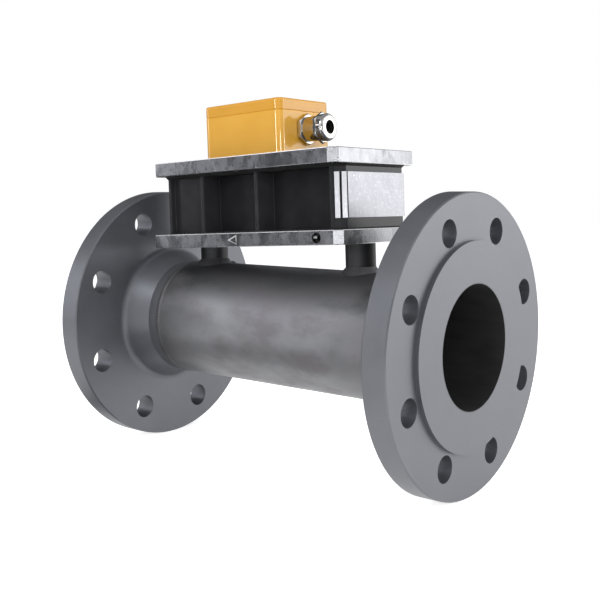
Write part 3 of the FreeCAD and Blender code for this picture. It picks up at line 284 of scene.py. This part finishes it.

# %% [markdown]
# The pipe between the necks was rolled and then welded hot, so it carries soft blotches of
# heat tint, darkest beside the two girth welds. Its top is darker too, partly heat tint from
# the branches that were welded on there and partly painted shade under the head. Two noises
# of different scale paint the blotches, the finer one also frays the edges of the dark zones,
# and a third one roughens the surface. The beads and the branch tubes are the same steel.
# The heat left the beads darker, and the branch tubes are much darker still as painted
# shade in the gap under the head.

# %% Heat-tinted pipe
def tinted_pipe(name, darker=1.0, top=1.0, ends=1.0):
    """Rolled steel. Its greys are taken times darker, times top along the crown of the pipe,
    which is part heat tint and part painted shade under the head, and times ends beside the
    girth welds.
    """
    material, tree, shader = start_finish(name, metallic=0.7)
    where = coordinates(tree, stretch=(0.6, 1, 1))
    patches = noise(tree, where, 58, detail=3, roughness=0.6)
    drift = noise(tree, where, 17, detail=2)
    mottle = arithmetic(tree, "ADD", arithmetic(tree, "MULTIPLY", patches, 0.65),
                        arithmetic(tree, "MULTIPLY", drift, 0.35))
    stops = ((0.38, (0.198, 0.19, 0.202)), (0.5, (0.24, 0.241, 0.253)), (0.62, (0.272, 0.277, 0.288)))
    stops = [(place, [part * darker for part in colour]) for place, colour in stops]
    grey = ramp(tree, mottle, *stops)
    x, _, z = axes(tree)
    fray = arithmetic(tree, "MULTIPLY", patches, 0.05)
    # Painted shade in part: the crown is darker, both as heat tint and as shade under the head.
    crown = spread(tree, arithmetic(tree, "ADD", z, fray), 0.04, 0.066, 1.0, top)
    from_middle = arithmetic(tree, "ABSOLUTE", arithmetic(tree, "SUBTRACT", x, METER_MIDDLE))
    frayed = arithmetic(tree, "ADD", from_middle, arithmetic(tree, "MULTIPLY", fray, 2.4))
    near_weld = spread(tree, frayed, 0.126, 0.166, 1.0, ends)
    tinted = blend(tree, 1.0, grey, arithmetic(tree, "MULTIPLY", crown, near_weld), "MULTIPLY")
    colour = blend(tree, bore_share(tree), tinted, mill_scale(tree))
    tree.links.new(colour, shader.inputs["Base Color"])
    tree.links.new(spread(tree, mottle, 0.35, 0.65, 0.52, 0.42), shader.inputs["Roughness"])
    emboss(tree, shader, noise(tree, coordinates(tree), 700, detail=3), 0.00003, 0.6)
    return material


# top darkens the crown: part heat tint, part painted shade under the head.
pipe_steel = tinted_pipe("heat_tinted_pipe", 0.98, top=0.62, ends=0.62)
# Painted shade: the branch tubes stand under the head, so their greys are taken much darker.
shaded_stub_steel = tinted_pipe("dark_branch_tube", 0.18)
weld_steel = tinted_pipe("weld_bead_steel", 0.6)
print("made", pipe_steel.name, shaded_stub_steel.name, weld_steel.name)

# %% [markdown]
# ## Zinc on the plates
#
# The head's two plates are hot-dip galvanised. Zinc freezes in crystals, called spangle,
# and weathers to soft grey clouds a few millimetres across. The small edge chamfers carry a
# painted highlight, a paler colour. They could have a material of their own, but the
# surface's own direction picks them out as well: there it points half upwards or half downwards.

# %% Share of the chamfers
def chamfer_highlight_share(tree):
    """One where a surface leans about halfway between level and upright, nought elsewhere. It marks
    the chamfers' painted highlight.
    """
    geometry = tree.nodes.new("ShaderNodeNewGeometry")
    split = tree.nodes.new("ShaderNodeSeparateXYZ")
    tree.links.new(geometry.outputs["True Normal"], split.inputs["Vector"])
    lean = arithmetic(tree, "ABSOLUTE", split.outputs["Z"])
    off_upright = spread(tree, lean, 0.3, 0.45, 0, 1)
    off_level = spread(tree, lean, 0.85, 0.95, 1, 0)
    return arithmetic(tree, "MULTIPLY", off_upright, off_level)


# %% [markdown]
# The sheet at the inlet end is folded back round both corners of the black body. A groove
# runs up the middle of each bent corner. The groove and the fold are painted dark as painted
# shade, and the rest of the bent corner is painted paler as a painted highlight. All of it lies
# in upright bands, so a point's place across the corner is enough to tell them apart.

# %% Grooves of the folded sheet
GROOVE_BAND = (0.02613, 0.0008)  # middle and half width
FOLD_BAND = (0.03065, 0.00042)  # the same
CORNER_END = (0.03, 0.0304)  # where the corner ends, as a soft step


def groove_shade_and_corner_highlight(tree):
    """One in the groove along the middle of each bent corner of the sheet and at its fold, where
    shade is painted.

    With it comes a second share, one on the whole bent corner, where a highlight is painted.
    Across the corner, a point's place is (x - |y|) / sqrt(2), with x along the tilted head.
    """
    x, y, z = axes(tree)
    from_middle = arithmetic(tree, "SUBTRACT", x, METER_MIDDLE)
    along = arithmetic(tree, "ADD", arithmetic(tree, "MULTIPLY", from_middle, math.cos(HEAD_SLOPE)),
                       arithmetic(tree, "MULTIPLY", z, math.sin(HEAD_SLOPE)))
    across = arithmetic(tree, "SUBTRACT", along, arithmetic(tree, "ABSOLUTE", y))
    place = arithmetic(tree, "MULTIPLY", across, math.sqrt(0.5))
    share = 0.0
    for middle, half in (GROOVE_BAND, FOLD_BAND):
        away = arithmetic(tree, "ABSOLUTE", arithmetic(tree, "SUBTRACT", place, middle))
        band = spread(tree, away, half - 0.0001, half + 0.0001, 1, 0)
        share = arithmetic(tree, "MAXIMUM", share, band)
    return share, spread(tree, place, *CORNER_END, 1, 0)


print("groove in millimetres: %.1f wide" % (2000 * GROOVE_BAND[1]))

# %% [markdown]
# The long edge of the lower plate has two marks: an engraved flow arrow and a tapped side
# port. The arrow's groove is painted pale as a painted highlight, brightest in the upper
# stroke, which catches the light from above, and greyer downwards. A pale patch on the
# port's wall is a painted highlight for the glint inside the hole. A picture of them could be
# laid on the edge. Here a share is one inside a small box and nought outside, so it mixes
# in one more colour just there.

# %% Flow arrow and side port
# Painted highlight: the arrow's groove is painted pale, paler in its upper stroke.
ARROW_FLOOR = ((-0.1632, -0.0495, 0.0655), (0.0058, 0.0003, 0.0045))  # middle and half sizes
# Painted highlight: a pale patch on the side port's wall, for the glint inside the hole.
PORT_GLINT_PATCH = ((-0.0903, -0.0475, 0.0696), (0.0016, 0.0009, 0.0007))  # the same


def box_share(tree, middle, reach):
    """One inside a box of the given middle and half sizes, nought outside."""
    share = 1.0
    for place, centre, half in zip(axes(tree), middle, reach):
        away = arithmetic(tree, "ABSOLUTE", arithmetic(tree, "SUBTRACT", place, centre))
        share = arithmetic(tree, "MULTIPLY", share, arithmetic(tree, "LESS_THAN", away, half))
    return share


def arrow_and_port_highlights(tree):
    """One on the floor of the flow arrow's groove and on a patch of the side port's wall, both
    painted highlight.

    With it comes the colour, which is pale in the arrow's upper stroke, where the light from
    above falls, and greys downwards.
    """
    groove = box_share(tree, *ARROW_FLOOR)
    port_glint = box_share(tree, *PORT_GLINT_PATCH)
    _, _, height = axes(tree)
    pale = ramp(tree, spread(tree, height, 0.064, 0.0657, 0.0, 1.0),
                (0.0, (0.36, 0.36, 0.37)), (1.0, (0.66, 0.66, 0.67)))
    return arithmetic(tree, "ADD", groove, port_glint), pale


mark_places = [round(1000 * place[0][0], 1) for place in (ARROW_FLOOR, PORT_GLINT_PATCH)]
print("arrow and port at X in millimetres:", mark_places)

# %% [markdown]
# The zinc brings all this together. A cell pattern gives each crystal its value, two noises
# blur it into clouds, and the result drives the colour and the gloss. The same recipe with
# smaller crystals and fine flecks that glint makes the folded sheet.

# %% Spangled zinc
PORT_WALL_SHADE = ((-0.08782, -0.04841, 0.06937), (0.0038, 0.00155, 0.0038))  # middle and half sizes


def spangled_zinc(name, light, dark, cell, rough, folded=False, flecks=0.0):
    """Galvanised steel. The folded sheet has its grooves, and a plate has the port and arrow.

    The wall of the tapped side port is painted nearly black as painted shade, and the arrow's
    groove and a patch of the port's wall are a pale painted highlight, not metal.
    """
    material, tree, shader = start_finish(name, metallic=0.95)
    where = coordinates(tree, stretch=(1, 1, 0.6))
    wobble = noise(tree, where, 120, detail=2, roughness=0.5, output="Color")
    bent = blend(tree, 0.012, where, wobble, "ADD")
    facets = crystals(tree, bent, cell)
    clouds = noise(tree, where, 170, detail=4, roughness=0.6)
    drift = noise(tree, coordinates(tree, stretch=(1, 1, 0.3)), 45, detail=3)
    value = blend(tree, 0.25, clouds, facets)
    value = blend(tree, 0.4, value, drift)
    colour = ramp(tree, value, (0.33, dark), (0.64, light))
    # Painted highlight: the chamfers are paler.
    colour = blend(tree, chamfer_highlight_share(tree), colour, (0.62, 0.62, 0.64))
    if flecks:
        sparks = noise(tree, coordinates(tree), 520, detail=2)
        glints = spread(tree, sparks, 0.58, 0.74, 0.0, flecks)
        colour = blend(tree, glints, colour, (0.52, 0.52, 0.54))
    if folded:
        # Painted highlight on the whole bent corner, then painted shade in the groove and the fold.
        groove, corner = groove_shade_and_corner_highlight(tree)
        colour = blend(tree, arithmetic(tree, "MULTIPLY", corner, 0.24), colour, (0.6, 0.6, 0.62))
        colour = blend(tree, groove, colour, (0.05, 0.05, 0.055))
    else:
        # Painted shade: the wall of the tapped side port is painted nearly black.
        colour = blend(tree, box_share(tree, *PORT_WALL_SHADE), colour, (0.02, 0.02, 0.02))
        # Painted highlight: the arrow's groove and the patch on the port's wall are pale and less
        # metallic.
        share, pale = arrow_and_port_highlights(tree)
        colour = blend(tree, share, colour, pale)
        tree.links.new(spread(tree, share, 0.0, 1.0, 0.95, 0.1), shader.inputs["Metallic"])
    tree.links.new(colour, shader.inputs["Base Color"])
    tree.links.new(spread(tree, value, 0.3, 0.7, *rough), shader.inputs["Roughness"])
    frost = noise(tree, coordinates(tree), 700, detail=3, roughness=0.7)
    height = arithmetic(tree, "ADD", value, arithmetic(tree, "MULTIPLY", frost, 0.25))
    emboss(tree, shader, height, 0.00003, 0.17)
    return material


plate_zinc = spangled_zinc("spangled_zinc_plate", (0.278, 0.283, 0.296), (0.12, 0.123, 0.13),
                           cell=150, rough=(0.19, 0.36))
sheet_zinc = spangled_zinc("spangled_zinc_sheet", (0.33, 0.33, 0.355), (0.235, 0.235, 0.255),
                           cell=260, rough=(0.28, 0.42), folded=True, flecks=0.5)
print("made", plate_zinc.name, sheet_zinc.name)

# %% [markdown]
# ## Plastics, rubber, paint and bright metal
#
# The oscillator body is a glossy black moulding. The seals are matt rubber. The box is cast
# and painted, and its thick glossy paint has the slight orange-peel that sprayed paint
# dries with. The lid wears a darker copy of the paint, as painted shade. The gland is nickel-plated
# brass.

# %% Black moulding, rubber, paint and nickel
def plain_finish(name, colour, other, scale, roughness, metallic=0.0, depth=0.00002, bump=0.5,
                 **sockets):
    """A colour that drifts to another one with a noise, with a fine bump and uneven gloss."""
    material, tree, shader = start_finish(name, metallic=metallic, **sockets)
    cloud = noise(tree, coordinates(tree), scale)
    tree.links.new(ramp(tree, cloud, (0.3, colour), (0.7, other)), shader.inputs["Base Color"])
    gloss = spread(tree, cloud, 0.3, 0.7, roughness * 0.88, roughness * 1.12)
    tree.links.new(gloss, shader.inputs["Roughness"])
    emboss(tree, shader, noise(tree, coordinates(tree), scale * 8, detail=3), depth, bump)
    return material


# Painted glint: a bright patch on the plug's face.
PLUG_GLINT = ((-0.09, -0.0468, 0.0697), (0.0015, 0.0005, 0.0008))  # middle and half sizes


def plug_with_painted_glint(name):
    """Black oxide with one painted glint: a bright patch on its face."""
    material = plain_finish(name, (0.012, 0.012, 0.013), (0.02, 0.02, 0.021), 500, 0.4)
    tree = material.node_tree
    colour = tree.nodes["Principled BSDF"].inputs["Base Color"]
    oxide = colour.links[0].from_socket
    # Painted glint on the plug's face.
    painted_glint = blend(tree, box_share(tree, *PLUG_GLINT), oxide, (0.7, 0.7, 0.7))
    tree.links.new(painted_glint, colour)
    return material


black_moulding = plain_finish("black_moulding", (0.0125, 0.0125, 0.014), (0.019, 0.019, 0.021),
                              60, 0.24, Specular_IOR_Level=0.22)
seal_rubber = plain_finish("seal_rubber", (0.007, 0.007, 0.007), (0.014, 0.014, 0.014), 120, 0.6,
                           Specular_IOR_Level=0.2)
black_oxide = plug_with_painted_glint("black_oxide_plug")
GLOSS = dict(depth=0.00003, bump=0.25, Coat_Weight=0.7, Coat_Roughness=0.04, Specular_IOR_Level=0.15)
ochre_paint = plain_finish("ochre_paint", (0.735, 0.378, 0.042), (0.775, 0.408, 0.05), 45, 0.35,
                           **GLOSS)
# Painted shade: the lid wears a darker copy of the box's paint.
shaded_lid_paint = plain_finish("ochre_paint_lid", (0.67, 0.325, 0.028), (0.71, 0.35, 0.034), 45, 0.35,
                         **GLOSS)
nickel_plate = plain_finish("nickel_plate", (0.54, 0.525, 0.5), (0.61, 0.6, 0.585), 80, 0.12,
                            metallic=1.0)
bright_steel = plain_finish("bright_screw_steel", (0.55, 0.55, 0.56), (0.66, 0.66, 0.67), 150, 0.28,
                            metallic=1.0)
board_lacquer = plain_finish("board_lacquer", (0.01, 0.11, 0.045), (0.015, 0.15, 0.06), 400, 0.35)
terminal_plastic = plain_finish("terminal_plastic", (0.03, 0.2, 0.07), (0.04, 0.24, 0.09), 200, 0.5)
chip_plastic = plain_finish("chip_plastic", (0.015, 0.015, 0.016), (0.025, 0.025, 0.026), 500, 0.6)
can_aluminium = plain_finish("can_aluminium", (0.7, 0.7, 0.72), (0.78, 0.78, 0.8), 300, 0.3,
                             metallic=1.0)
slip_plastic = plain_finish("slip_plastic", (0.02, 0.02, 0.02), (0.03, 0.03, 0.03), 150, 0.5)
print("made", len(bpy.data.materials), "materials so far")

# %% [markdown]
# Each solid wears one finish. A table of the finishes, with the solids that wear them, reads
# like a parts list and is easy to change. The cell prints any solid that the table forgot.

# %% Put the finishes on the solids
FINISHES = {
    flange_steel: ("inlet_flange", "outlet_flange", "orifice_plate"),
    pipe_steel: ("main_pipe",),
    shaded_stub_steel: ("inlet_stub", "outlet_stub"),
    weld_steel: ("girth_welds", "stub_welds"),
    plate_zinc: ("base_plate", "cover_plate"),
    sheet_zinc: ("end_sheet",),
    black_moulding: ("oscillator_body",),
    seal_rubber: ("lower_gasket", "upper_gasket", "enclosure_seal", "lid_seal", "sensor_o_ring",
                  "gland_washer", "gland_seal"),
    ochre_paint: ("enclosure_base",),
    shaded_lid_paint: ("enclosure_lid",),
    nickel_plate: ("gland_body", "gland_nut", "gland_locknut"),
    black_oxide: ("port_plug",),
    bright_steel: ("clamp_screws", "sensor_holder", "sensor_probe", "enclosure_screws",
                   "lid_screws", "board_screws", "terminal_screws"),
    board_lacquer: ("circuit_board",),
    terminal_plastic: ("terminal_block",),
    chip_plastic: ("processor_chip",),
    can_aluminium: ("capacitors",),
    slip_plastic: ("gland_slip_ring",),
}
for finish, names in FINISHES.items():
    for name in names:
        nodes[name].data.materials.clear()
        nodes[name].data.materials.append(finish)
bare = sorted(set(nodes) - {name for names in FINISHES.values() for name in names})
print("nodes without a finish:", bare)

# %% [markdown]
# ## Weld beads and thread
#
# A bead is a row of small pools of metal, each frozen over the edge of the last one, so its
# face is scaled like a fish. The solids have smooth beads of the same section. Here each
# bead is a grid of points: one direction runs along the weld, the other goes once round
# the bead's section, and a travelling wave raises the scales.

# %% Surfaces from grids
def grid_mesh(name, grids, finish, body):
    """One closed mesh from grids of points in metres, each of shape (rows, columns, 3).

    The columns close on themselves. The rows close too, unless the grid's flag says that
    it has ends, which are then capped.
    """
    points, faces, count = [], [], 0
    for grid, ends in grids:
        rows, columns = grid.shape[:2]
        steps = rows - 1 if ends else rows
        row, column = np.meshgrid(np.arange(steps), np.arange(columns), indexing="ij")
        following, beside = (row + 1) % rows, (column + 1) % columns
        corners = [row * columns + column, following * columns + column,
                   following * columns + beside, row * columns + beside]
        faces += (np.stack(corners, -1).reshape(-1, 4) + count).tolist()
        if ends:
            cap = np.arange(columns) + count
            faces += [cap.tolist(), (cap[::-1] + (rows - 1) * columns).tolist()]
        points.append(grid.reshape(-1, 3))
        count += rows * columns
    mesh = bpy.data.meshes.new(name)
    mesh.from_pydata(np.concatenate(points).tolist(), [], faces)
    working = bmesh.new()
    working.from_mesh(mesh)
    bmesh.ops.recalc_face_normals(working, faces=working.faces)
    working.to_mesh(mesh)
    working.free()
    mesh.shade_smooth()
    mesh.set_sharp_from_angle(angle=math.radians(50))
    mesh.materials.append(finish)
    piece = bpy.data.objects.new(name, mesh)
    bpy.context.scene.collection.objects.link(piece)
    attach(piece, body)
    return piece


def scales(turn, place, count):
    """Height of the scales from 0 to 1: waves along the weld, bent into arcs across it."""
    phase = count * turn + 0.5 * np.sin(3 * turn + 1) + 0.3 * np.sin(7 * turn) + 2.4 * place ** 2
    return (0.5 + 0.5 * np.sin(phase + 0.45 * np.sin(phase))) * (1 - place ** 2)


sample = scales(np.linspace(0, 1, 1000), 0.0, 132)
print("scales run from %.2f to %.2f" % (sample.min(), sample.max()))

# %% [markdown]
# Two girth welds join the pipe to the necks of the flanges. Each fills a V down to the bore
# and crowns a little over the pipe. Spinning a profile would give a smooth ring, so the
# grid runs over the angle instead and the scales lift its face.

# %% Beads round the pipe
def girth_bead(middle):
    """A bead round the pipe, as a grid over the angle round the pipe and the section.

    The section starts at the root of the V, on the bore, and climbs to one toe. From there
    the face rises as a low arch, crown (1 - p^2), with the scales on it, to the other toe.
    """
    half, inset, lift, crown, ripple = 0.002, 0.00005, 0.00002, 0.0002, 0.00016
    turn = np.linspace(0, 2 * math.pi, 1056, endpoint=False)[:, None]
    place = np.linspace(1, -1, 15)[None, :]
    along = np.concatenate([[0, half], (half - inset) * place[0], [-half]])
    face = PIPE_RADIUS + lift + crown * (1 - place ** 2) + ripple * scales(turn, place, 132)
    radius = np.concatenate([np.tile([BORE_RADIUS, PIPE_RADIUS], (len(turn), 1)), face,
                             np.full((len(turn), 1), PIPE_RADIUS)], axis=1)
    return np.stack([middle + np.broadcast_to(along, radius.shape), radius * np.cos(turn),
                     radius * np.sin(turn)], -1)


girth_ends = (-0.047, -0.247)
girth_grids = [(girth_bead(x), False) for x in girth_ends]
girth = grid_mesh("rippled_girth_beads", girth_grids, weld_steel, "meter")
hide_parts("girth_welds")
print("girth beads:", len(girth.data.polygons), "faces")

# %% [markdown]
# The branch tubes stand on the pipe, each in a fillet weld round its foot. Where an upright
# tube meets a round pipe, the foot is a saddle, and here the tubes also lean with the head.
# The bead is worked out in the head's own frame, where the tube is upright, and then
# turned into place.

# %% Beads at the feet of the branches
def head_to_meter(x, y, z):
    """Carries points from the tilted head's frame to the meter's: a turn about Y at its middle."""
    cosine, sine = math.cos(HEAD_SLOPE), math.sin(HEAD_SLOPE)
    return np.stack([METER_MIDDLE + x * cosine - z * sine, y, x * sine + z * cosine], -1)


def foot_bead(middle):
    """A bead round a branch's foot, as a grid over the angle round the branch and the section.

    The saddle that the branch stands on is where the pipe's surface is cut at a distance r
    from the branch's axis: z = (sqrt(R^2 - r^2 sin^2) - x sin t) / cos t, with x = middle +
    r cos. The bead's face falls from a level line on the branch to a toe on that saddle, and
    two last columns run back under it, on the saddle, to the branch's wall.
    """
    tube, climb, swell, ripple = 0.01065, 0.003325, 0.0001, 0.0002
    turn = np.linspace(0, 2 * math.pi, 440, endpoint=False)[:, None]

    def saddle(radius):
        return ((np.sqrt(PIPE_RADIUS ** 2 - (radius * np.sin(turn)) ** 2)
                 - (middle + radius * np.cos(turn)) * math.sin(HEAD_SLOPE)) / math.cos(HEAD_SLOPE))

    top = (PIPE_RADIUS - middle * math.sin(HEAD_SLOPE)) / math.cos(HEAD_SLOPE) + climb
    toe = tube + 0.0023 + 0.0011 * np.sin(turn) ** 2
    down = np.linspace(0, 1, 14)[None, :]
    bulge = swell * np.sin(math.pi * down) + ripple * scales(turn, 2 * down - 1, 44)
    slope = np.arctan2(toe - tube, top - saddle(toe))
    radius = tube + (toe - tube) * down ** 1.2 + bulge * np.cos(slope)
    height = top + (saddle(toe) - top) * down + bulge * np.sin(slope)
    inner = [(toe + tube) / 2, np.full_like(turn, tube)]
    radius = np.concatenate([radius] + inner, axis=1)
    height = np.concatenate([height] + [saddle(r) for r in inner], axis=1)
    return head_to_meter(middle + radius * np.cos(turn), radius * np.sin(turn), height)


stub_middles = (0.0625, -0.0781)
foot_grids = [(foot_bead(x), False) for x in stub_middles]
feet = grid_mesh("rippled_foot_beads", foot_grids, weld_steel, "meter")
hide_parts("stub_welds")
print("foot beads:", len(feet.data.polygons), "faces")

# %% [markdown]
# The nut runs on a thread on the gland's neck, which shows once the nut is turned out. An
# exact solid of it would have thousands of small faces, so the neck is plain in the solids,
# and one ridge wound round it, with its foot just inside, gives the same look.

# %% Thread on the gland's neck
GLAND_FOOT = (-0.136455, 0.144688)  # X and Z of the point where the gland's axis leaves the box


def gland_thread(start, end):
    """A ridge that winds round the gland's neck, as a grid over its length and its section.

    The section is a low trapezium with its foot just inside the neck. The ridge fades in and
    out over a quarter of a turn at each end. Start and end are measured along the gland from
    the point where its axis leaves the box.
    """
    root, crest, pitch = 0.00738, 0.00766, 0.0015
    turns = (end - start) / pitch
    angle = np.linspace(0, 2 * math.pi * turns, int(96 * turns))[:, None]
    fade = np.clip(np.minimum(angle, angle[-1] - angle) / (math.pi / 2), 0.05, 1)
    offset = np.array([-0.00055, -0.0001, 0.0001, 0.00055])[None, :] * np.maximum(fade, 0.3)
    height = np.array([0, 1, 1, 0])[None, :] * fade
    radius = root + (crest - root) * height
    along = start + pitch * angle / (2 * math.pi) + offset
    across, upward = radius * np.cos(angle), radius * np.sin(angle)
    cosine, sine = math.cos(HEAD_SLOPE), math.sin(HEAD_SLOPE)
    return np.stack([GLAND_FOOT[0] + along * cosine - upward * sine, across,
                     GLAND_FOOT[1] + along * sine + upward * cosine], -1)


ridge = grid_mesh("gland_neck_thread", [(gland_thread(0.0144, 0.0185), True)], nickel_plate, "meter")
print("thread:", len(ridge.data.polygons), "faces")

# %% [markdown]
# ## Studio
#
# The photo shows the meter on pure white. The world is white where the camera, a
# reflection or a glass looks at it, and dimmer where it lights the metal, so the object
# keeps its shading. The floor is pale, keeps the shadow, and is white to the camera.

# %% World
def looked_at(tree, *kinds):
    """One for rays of the given kinds, nought for the rays that gather light."""
    paths = tree.nodes.new("ShaderNodeLightPath")
    share = 0.0
    for kind in kinds:
        share = arithmetic(tree, "MAXIMUM", share, paths.outputs["Is %s Ray" % kind])
    return share


world = bpy.data.worlds.new("studio")
bpy.context.scene.world = world
world.use_nodes = True
tree = world.node_tree
tree.nodes.clear()
output = tree.nodes.new("ShaderNodeOutputWorld")
choose = tree.nodes.new("ShaderNodeMixShader")
tree.links.new(looked_at(tree, "Camera", "Glossy", "Transmission"), choose.inputs[0])
for socket, strength in ((1, 0.3), (2, 1.0)):
    backdrop = tree.nodes.new("ShaderNodeBackground")
    backdrop.inputs["Color"].default_value = (1, 1, 1, 1)
    backdrop.inputs["Strength"].default_value = strength
    tree.links.new(backdrop.outputs[0], choose.inputs[socket])
tree.links.new(choose.outputs[0], output.inputs["Surface"])
print("world:", len(tree.nodes), "nodes")


# %% Floor
def flat_sheet(name, corners):
    """One rectangle from its four corners."""
    mesh = bpy.data.meshes.new(name)
    mesh.from_pydata(corners, [], [(0, 1, 2, 3)])
    sheet = bpy.data.objects.new(name, mesh)
    bpy.context.scene.collection.objects.link(sheet)
    return sheet


floor_level = solid_box[0][2] - 0.0002
floor_corners = [(x, y, floor_level) for x, y in ((-6, -6), (6, -6), (6, 6), (-6, 6))]
floor = flat_sheet("studio_floor", floor_corners)
floor_finish, tree, shader = start_finish("studio_floor", roughness=0.9)
shader.inputs["Base Color"].default_value = (0.9, 0.9, 0.9, 1)
glow = arithmetic(tree, "MULTIPLY", looked_at(tree, "Camera", "Glossy"), 0.75)
tree.links.new(glow, shader.inputs["Emission Strength"])
shader.inputs["Emission Color"].default_value = (1, 1, 1, 1)
floor.data.materials.append(floor_finish)
print("floor at Z in millimetres: %.1f" % (1000 * floor_level))

# %% [markdown]
# Bare metal shows its surroundings, so most of its look is what stands round it. Bright
# windows and strips give the long lights on the pipe, the rims and the paint. Dark cards
# keep the crown of the pipe, the black moulding and the zinc from going white. Only
# reflections see the cards. Lamps that aren't mirrored fill the shade softly.


# %% Lamps and cards
def facing(place, aim):
    """A matrix that puts a thing at a place with its own -Z towards the point it aims at."""
    back = np.array(place, float) - np.array(aim, float)
    back /= np.linalg.norm(back)
    side = np.cross([0, 0, 1.0] if abs(back[2]) < 0.99 else [0, 1.0, 0], back)
    side /= np.linalg.norm(side)
    return (Matrix.Translation(place)
            @ Matrix(np.column_stack([side, np.cross(back, side), back]).tolist()).to_4x4())


def softbox(name, place, aim, width, height, watts, mirrored=True):
    """A rectangular lamp. Without mirrored it fills shade and leaves no highlight."""
    light = bpy.data.lights.new(name, "AREA")
    light.shape = "RECTANGLE"
    light.size, light.size_y = width, height
    light.energy = watts
    lamp = bpy.data.objects.new(name, light)
    lamp.matrix_world = facing(place, aim)
    lamp.visible_glossy = mirrored
    bpy.context.scene.collection.objects.link(lamp)
    return lamp


def card(name, place, aim, width, height, brightness):
    """A grey or bright card that only reflections see, so that metal has something to show."""
    x, y = width / 2, height / 2
    panel = flat_sheet(name, [(-x, -y, 0), (x, -y, 0), (x, y, 0), (-x, y, 0)])
    panel.matrix_world = facing(place, aim)
    material, tree, shader = start_finish(name, roughness=1.0)
    shader.inputs["Base Color"].default_value = (0, 0, 0, 1)
    shader.inputs["Specular IOR Level"].default_value = 0
    shader.inputs["Emission Color"].default_value = (1, 1, 1.05, 1)
    shader.inputs["Emission Strength"].default_value = brightness
    panel.data.materials.append(material)
    panel.visible_camera = panel.visible_diffuse = False
    panel.visible_shadow = panel.visible_transmission = False


MIDDLE = (METER_MIDDLE, 0, 0.03)
softbox("window_behind_right", (0.95, 1.1, 0.33), MIDDLE, 1.1, 0.8, 6.4)
strip_near_camera = softbox("strip_near_camera", (1.02, -0.92, 0.09), MIDDLE, 0.09, 0.48, 2.9)
softbox("key_from_the_inlet", (0.75, -0.35, 0.55), MIDDLE, 0.9, 0.9, 5.4, mirrored=False)
softbox("fill_from_the_front", (-0.35, -1.4, 0.7), MIDDLE, 1.2, 1.0, 12, mirrored=False)
softbox("top", (-0.15, 0.2, 1.6), MIDDLE, 1.2, 1.2, 9, mirrored=False)
card("dark_front_left", (-1.3, -0.85, 0.7), MIDDLE, 2.2, 2.0, 0.13)
card("window_front", (-0.284, -0.971, 0.883), (-0.27, -0.05, 0.03), 0.5, 0.42, 5.5)
card("strip_front", (-0.75, -1.25, 0.3), MIDDLE, 0.06, 0.9, 6)
card("band_front_left", (-1.0, -1.02, 0.53), MIDDLE, 0.34, 0.2, 1.9)
card("strip_left", (-1.26, -0.74, 0.3), MIDDLE, 0.16, 0.9, 7.2)
card("strip_behind_right", (0.98, 0.72, 0.3), MIDDLE, 0.05, 0.9, 9)
card("dark_behind_camera", (1.35, -0.75, 0.3), MIDDLE, 1.2, 1.1, 0.2)
card("dark_behind_left", (-1.1, 1.0, 0.75), MIDDLE, 2.0, 1.9, 0.08)
card("grey_overhead", (-0.3, 0.0, 1.5), MIDDLE, 3.2, 3.2, 0.4)
card_level = floor_level + 0.0001
card("grey_below", (-0.23, -0.155, card_level), (-0.23, -0.155, 1.0), 0.22, 0.19, 0.3)
card("grey_far_floor", (-0.95, -0.95, card_level), (-0.95, -0.95, 1.0), 1.1, 1.1, 0.25)
print("lamps:", len(bpy.data.lights))

# %% [markdown]
# Some lamps light a part of the meter alone. Gloss paint shows a window as a streak down
# each rounded corner, and three lamps make those streaks without burning out the zinc. They
# are low, so that the level lid doesn't mirror them to someone who stands behind. The
# narrow strip beside the camera is for the bright metal. Two small windows whiten the end
# of the cover plate and draw a bright line along the chamfers of both plates. A soft lamp at
# the inlet's side reaches into the pockets of the black moulding and shows their depth.

# %% Lamps for one part
def lights_only(lamp, *names):
    """Makes a lamp light the named solids and nothing else."""
    chosen = bpy.data.collections.new(lamp.name + "_lights")
    for name in names:
        chosen.objects.link(nodes[name])
    lamp.light_linking.receiver_collection = chosen


for name, place, width, watts in (("streak_front", (-0.73, -1.22, 0.23), 0.16, 2.4),
                                  ("streak_corner", (0.93, -0.9, 0.23), 0.34, 5.6),
                                  ("streak_side", (0.98, 0.78, 0.23), 0.16, 2.4)):
    streak = softbox(name, place, (-0.14, 0, 0.14), width, 0.2, watts)
    streak.visible_diffuse = False
    lights_only(streak, "enclosure_base", "enclosure_lid")
lights_only(strip_near_camera, "end_sheet", "base_plate", "cover_plate", "gland_body", "gland_nut")
end_window = softbox("end_window", (1.0, 1.1, 0.4), MIDDLE, 0.5, 0.5, 1.9)
lights_only(end_window, "cover_plate")
edge_window = softbox("edge_window", (-0.965, 0, 1.04), MIDDLE, 0.5, 0.5, 1.5)
lights_only(edge_window, "base_plate", "cover_plate")
pocket_lamp = softbox("pocket_lamp", (0.75, -0.38, 0.2), MIDDLE, 0.25, 0.4, 7, mirrored=False)
lights_only(pocket_lamp, "oscillator_body")
print("lamps in all:", len(bpy.data.lights))
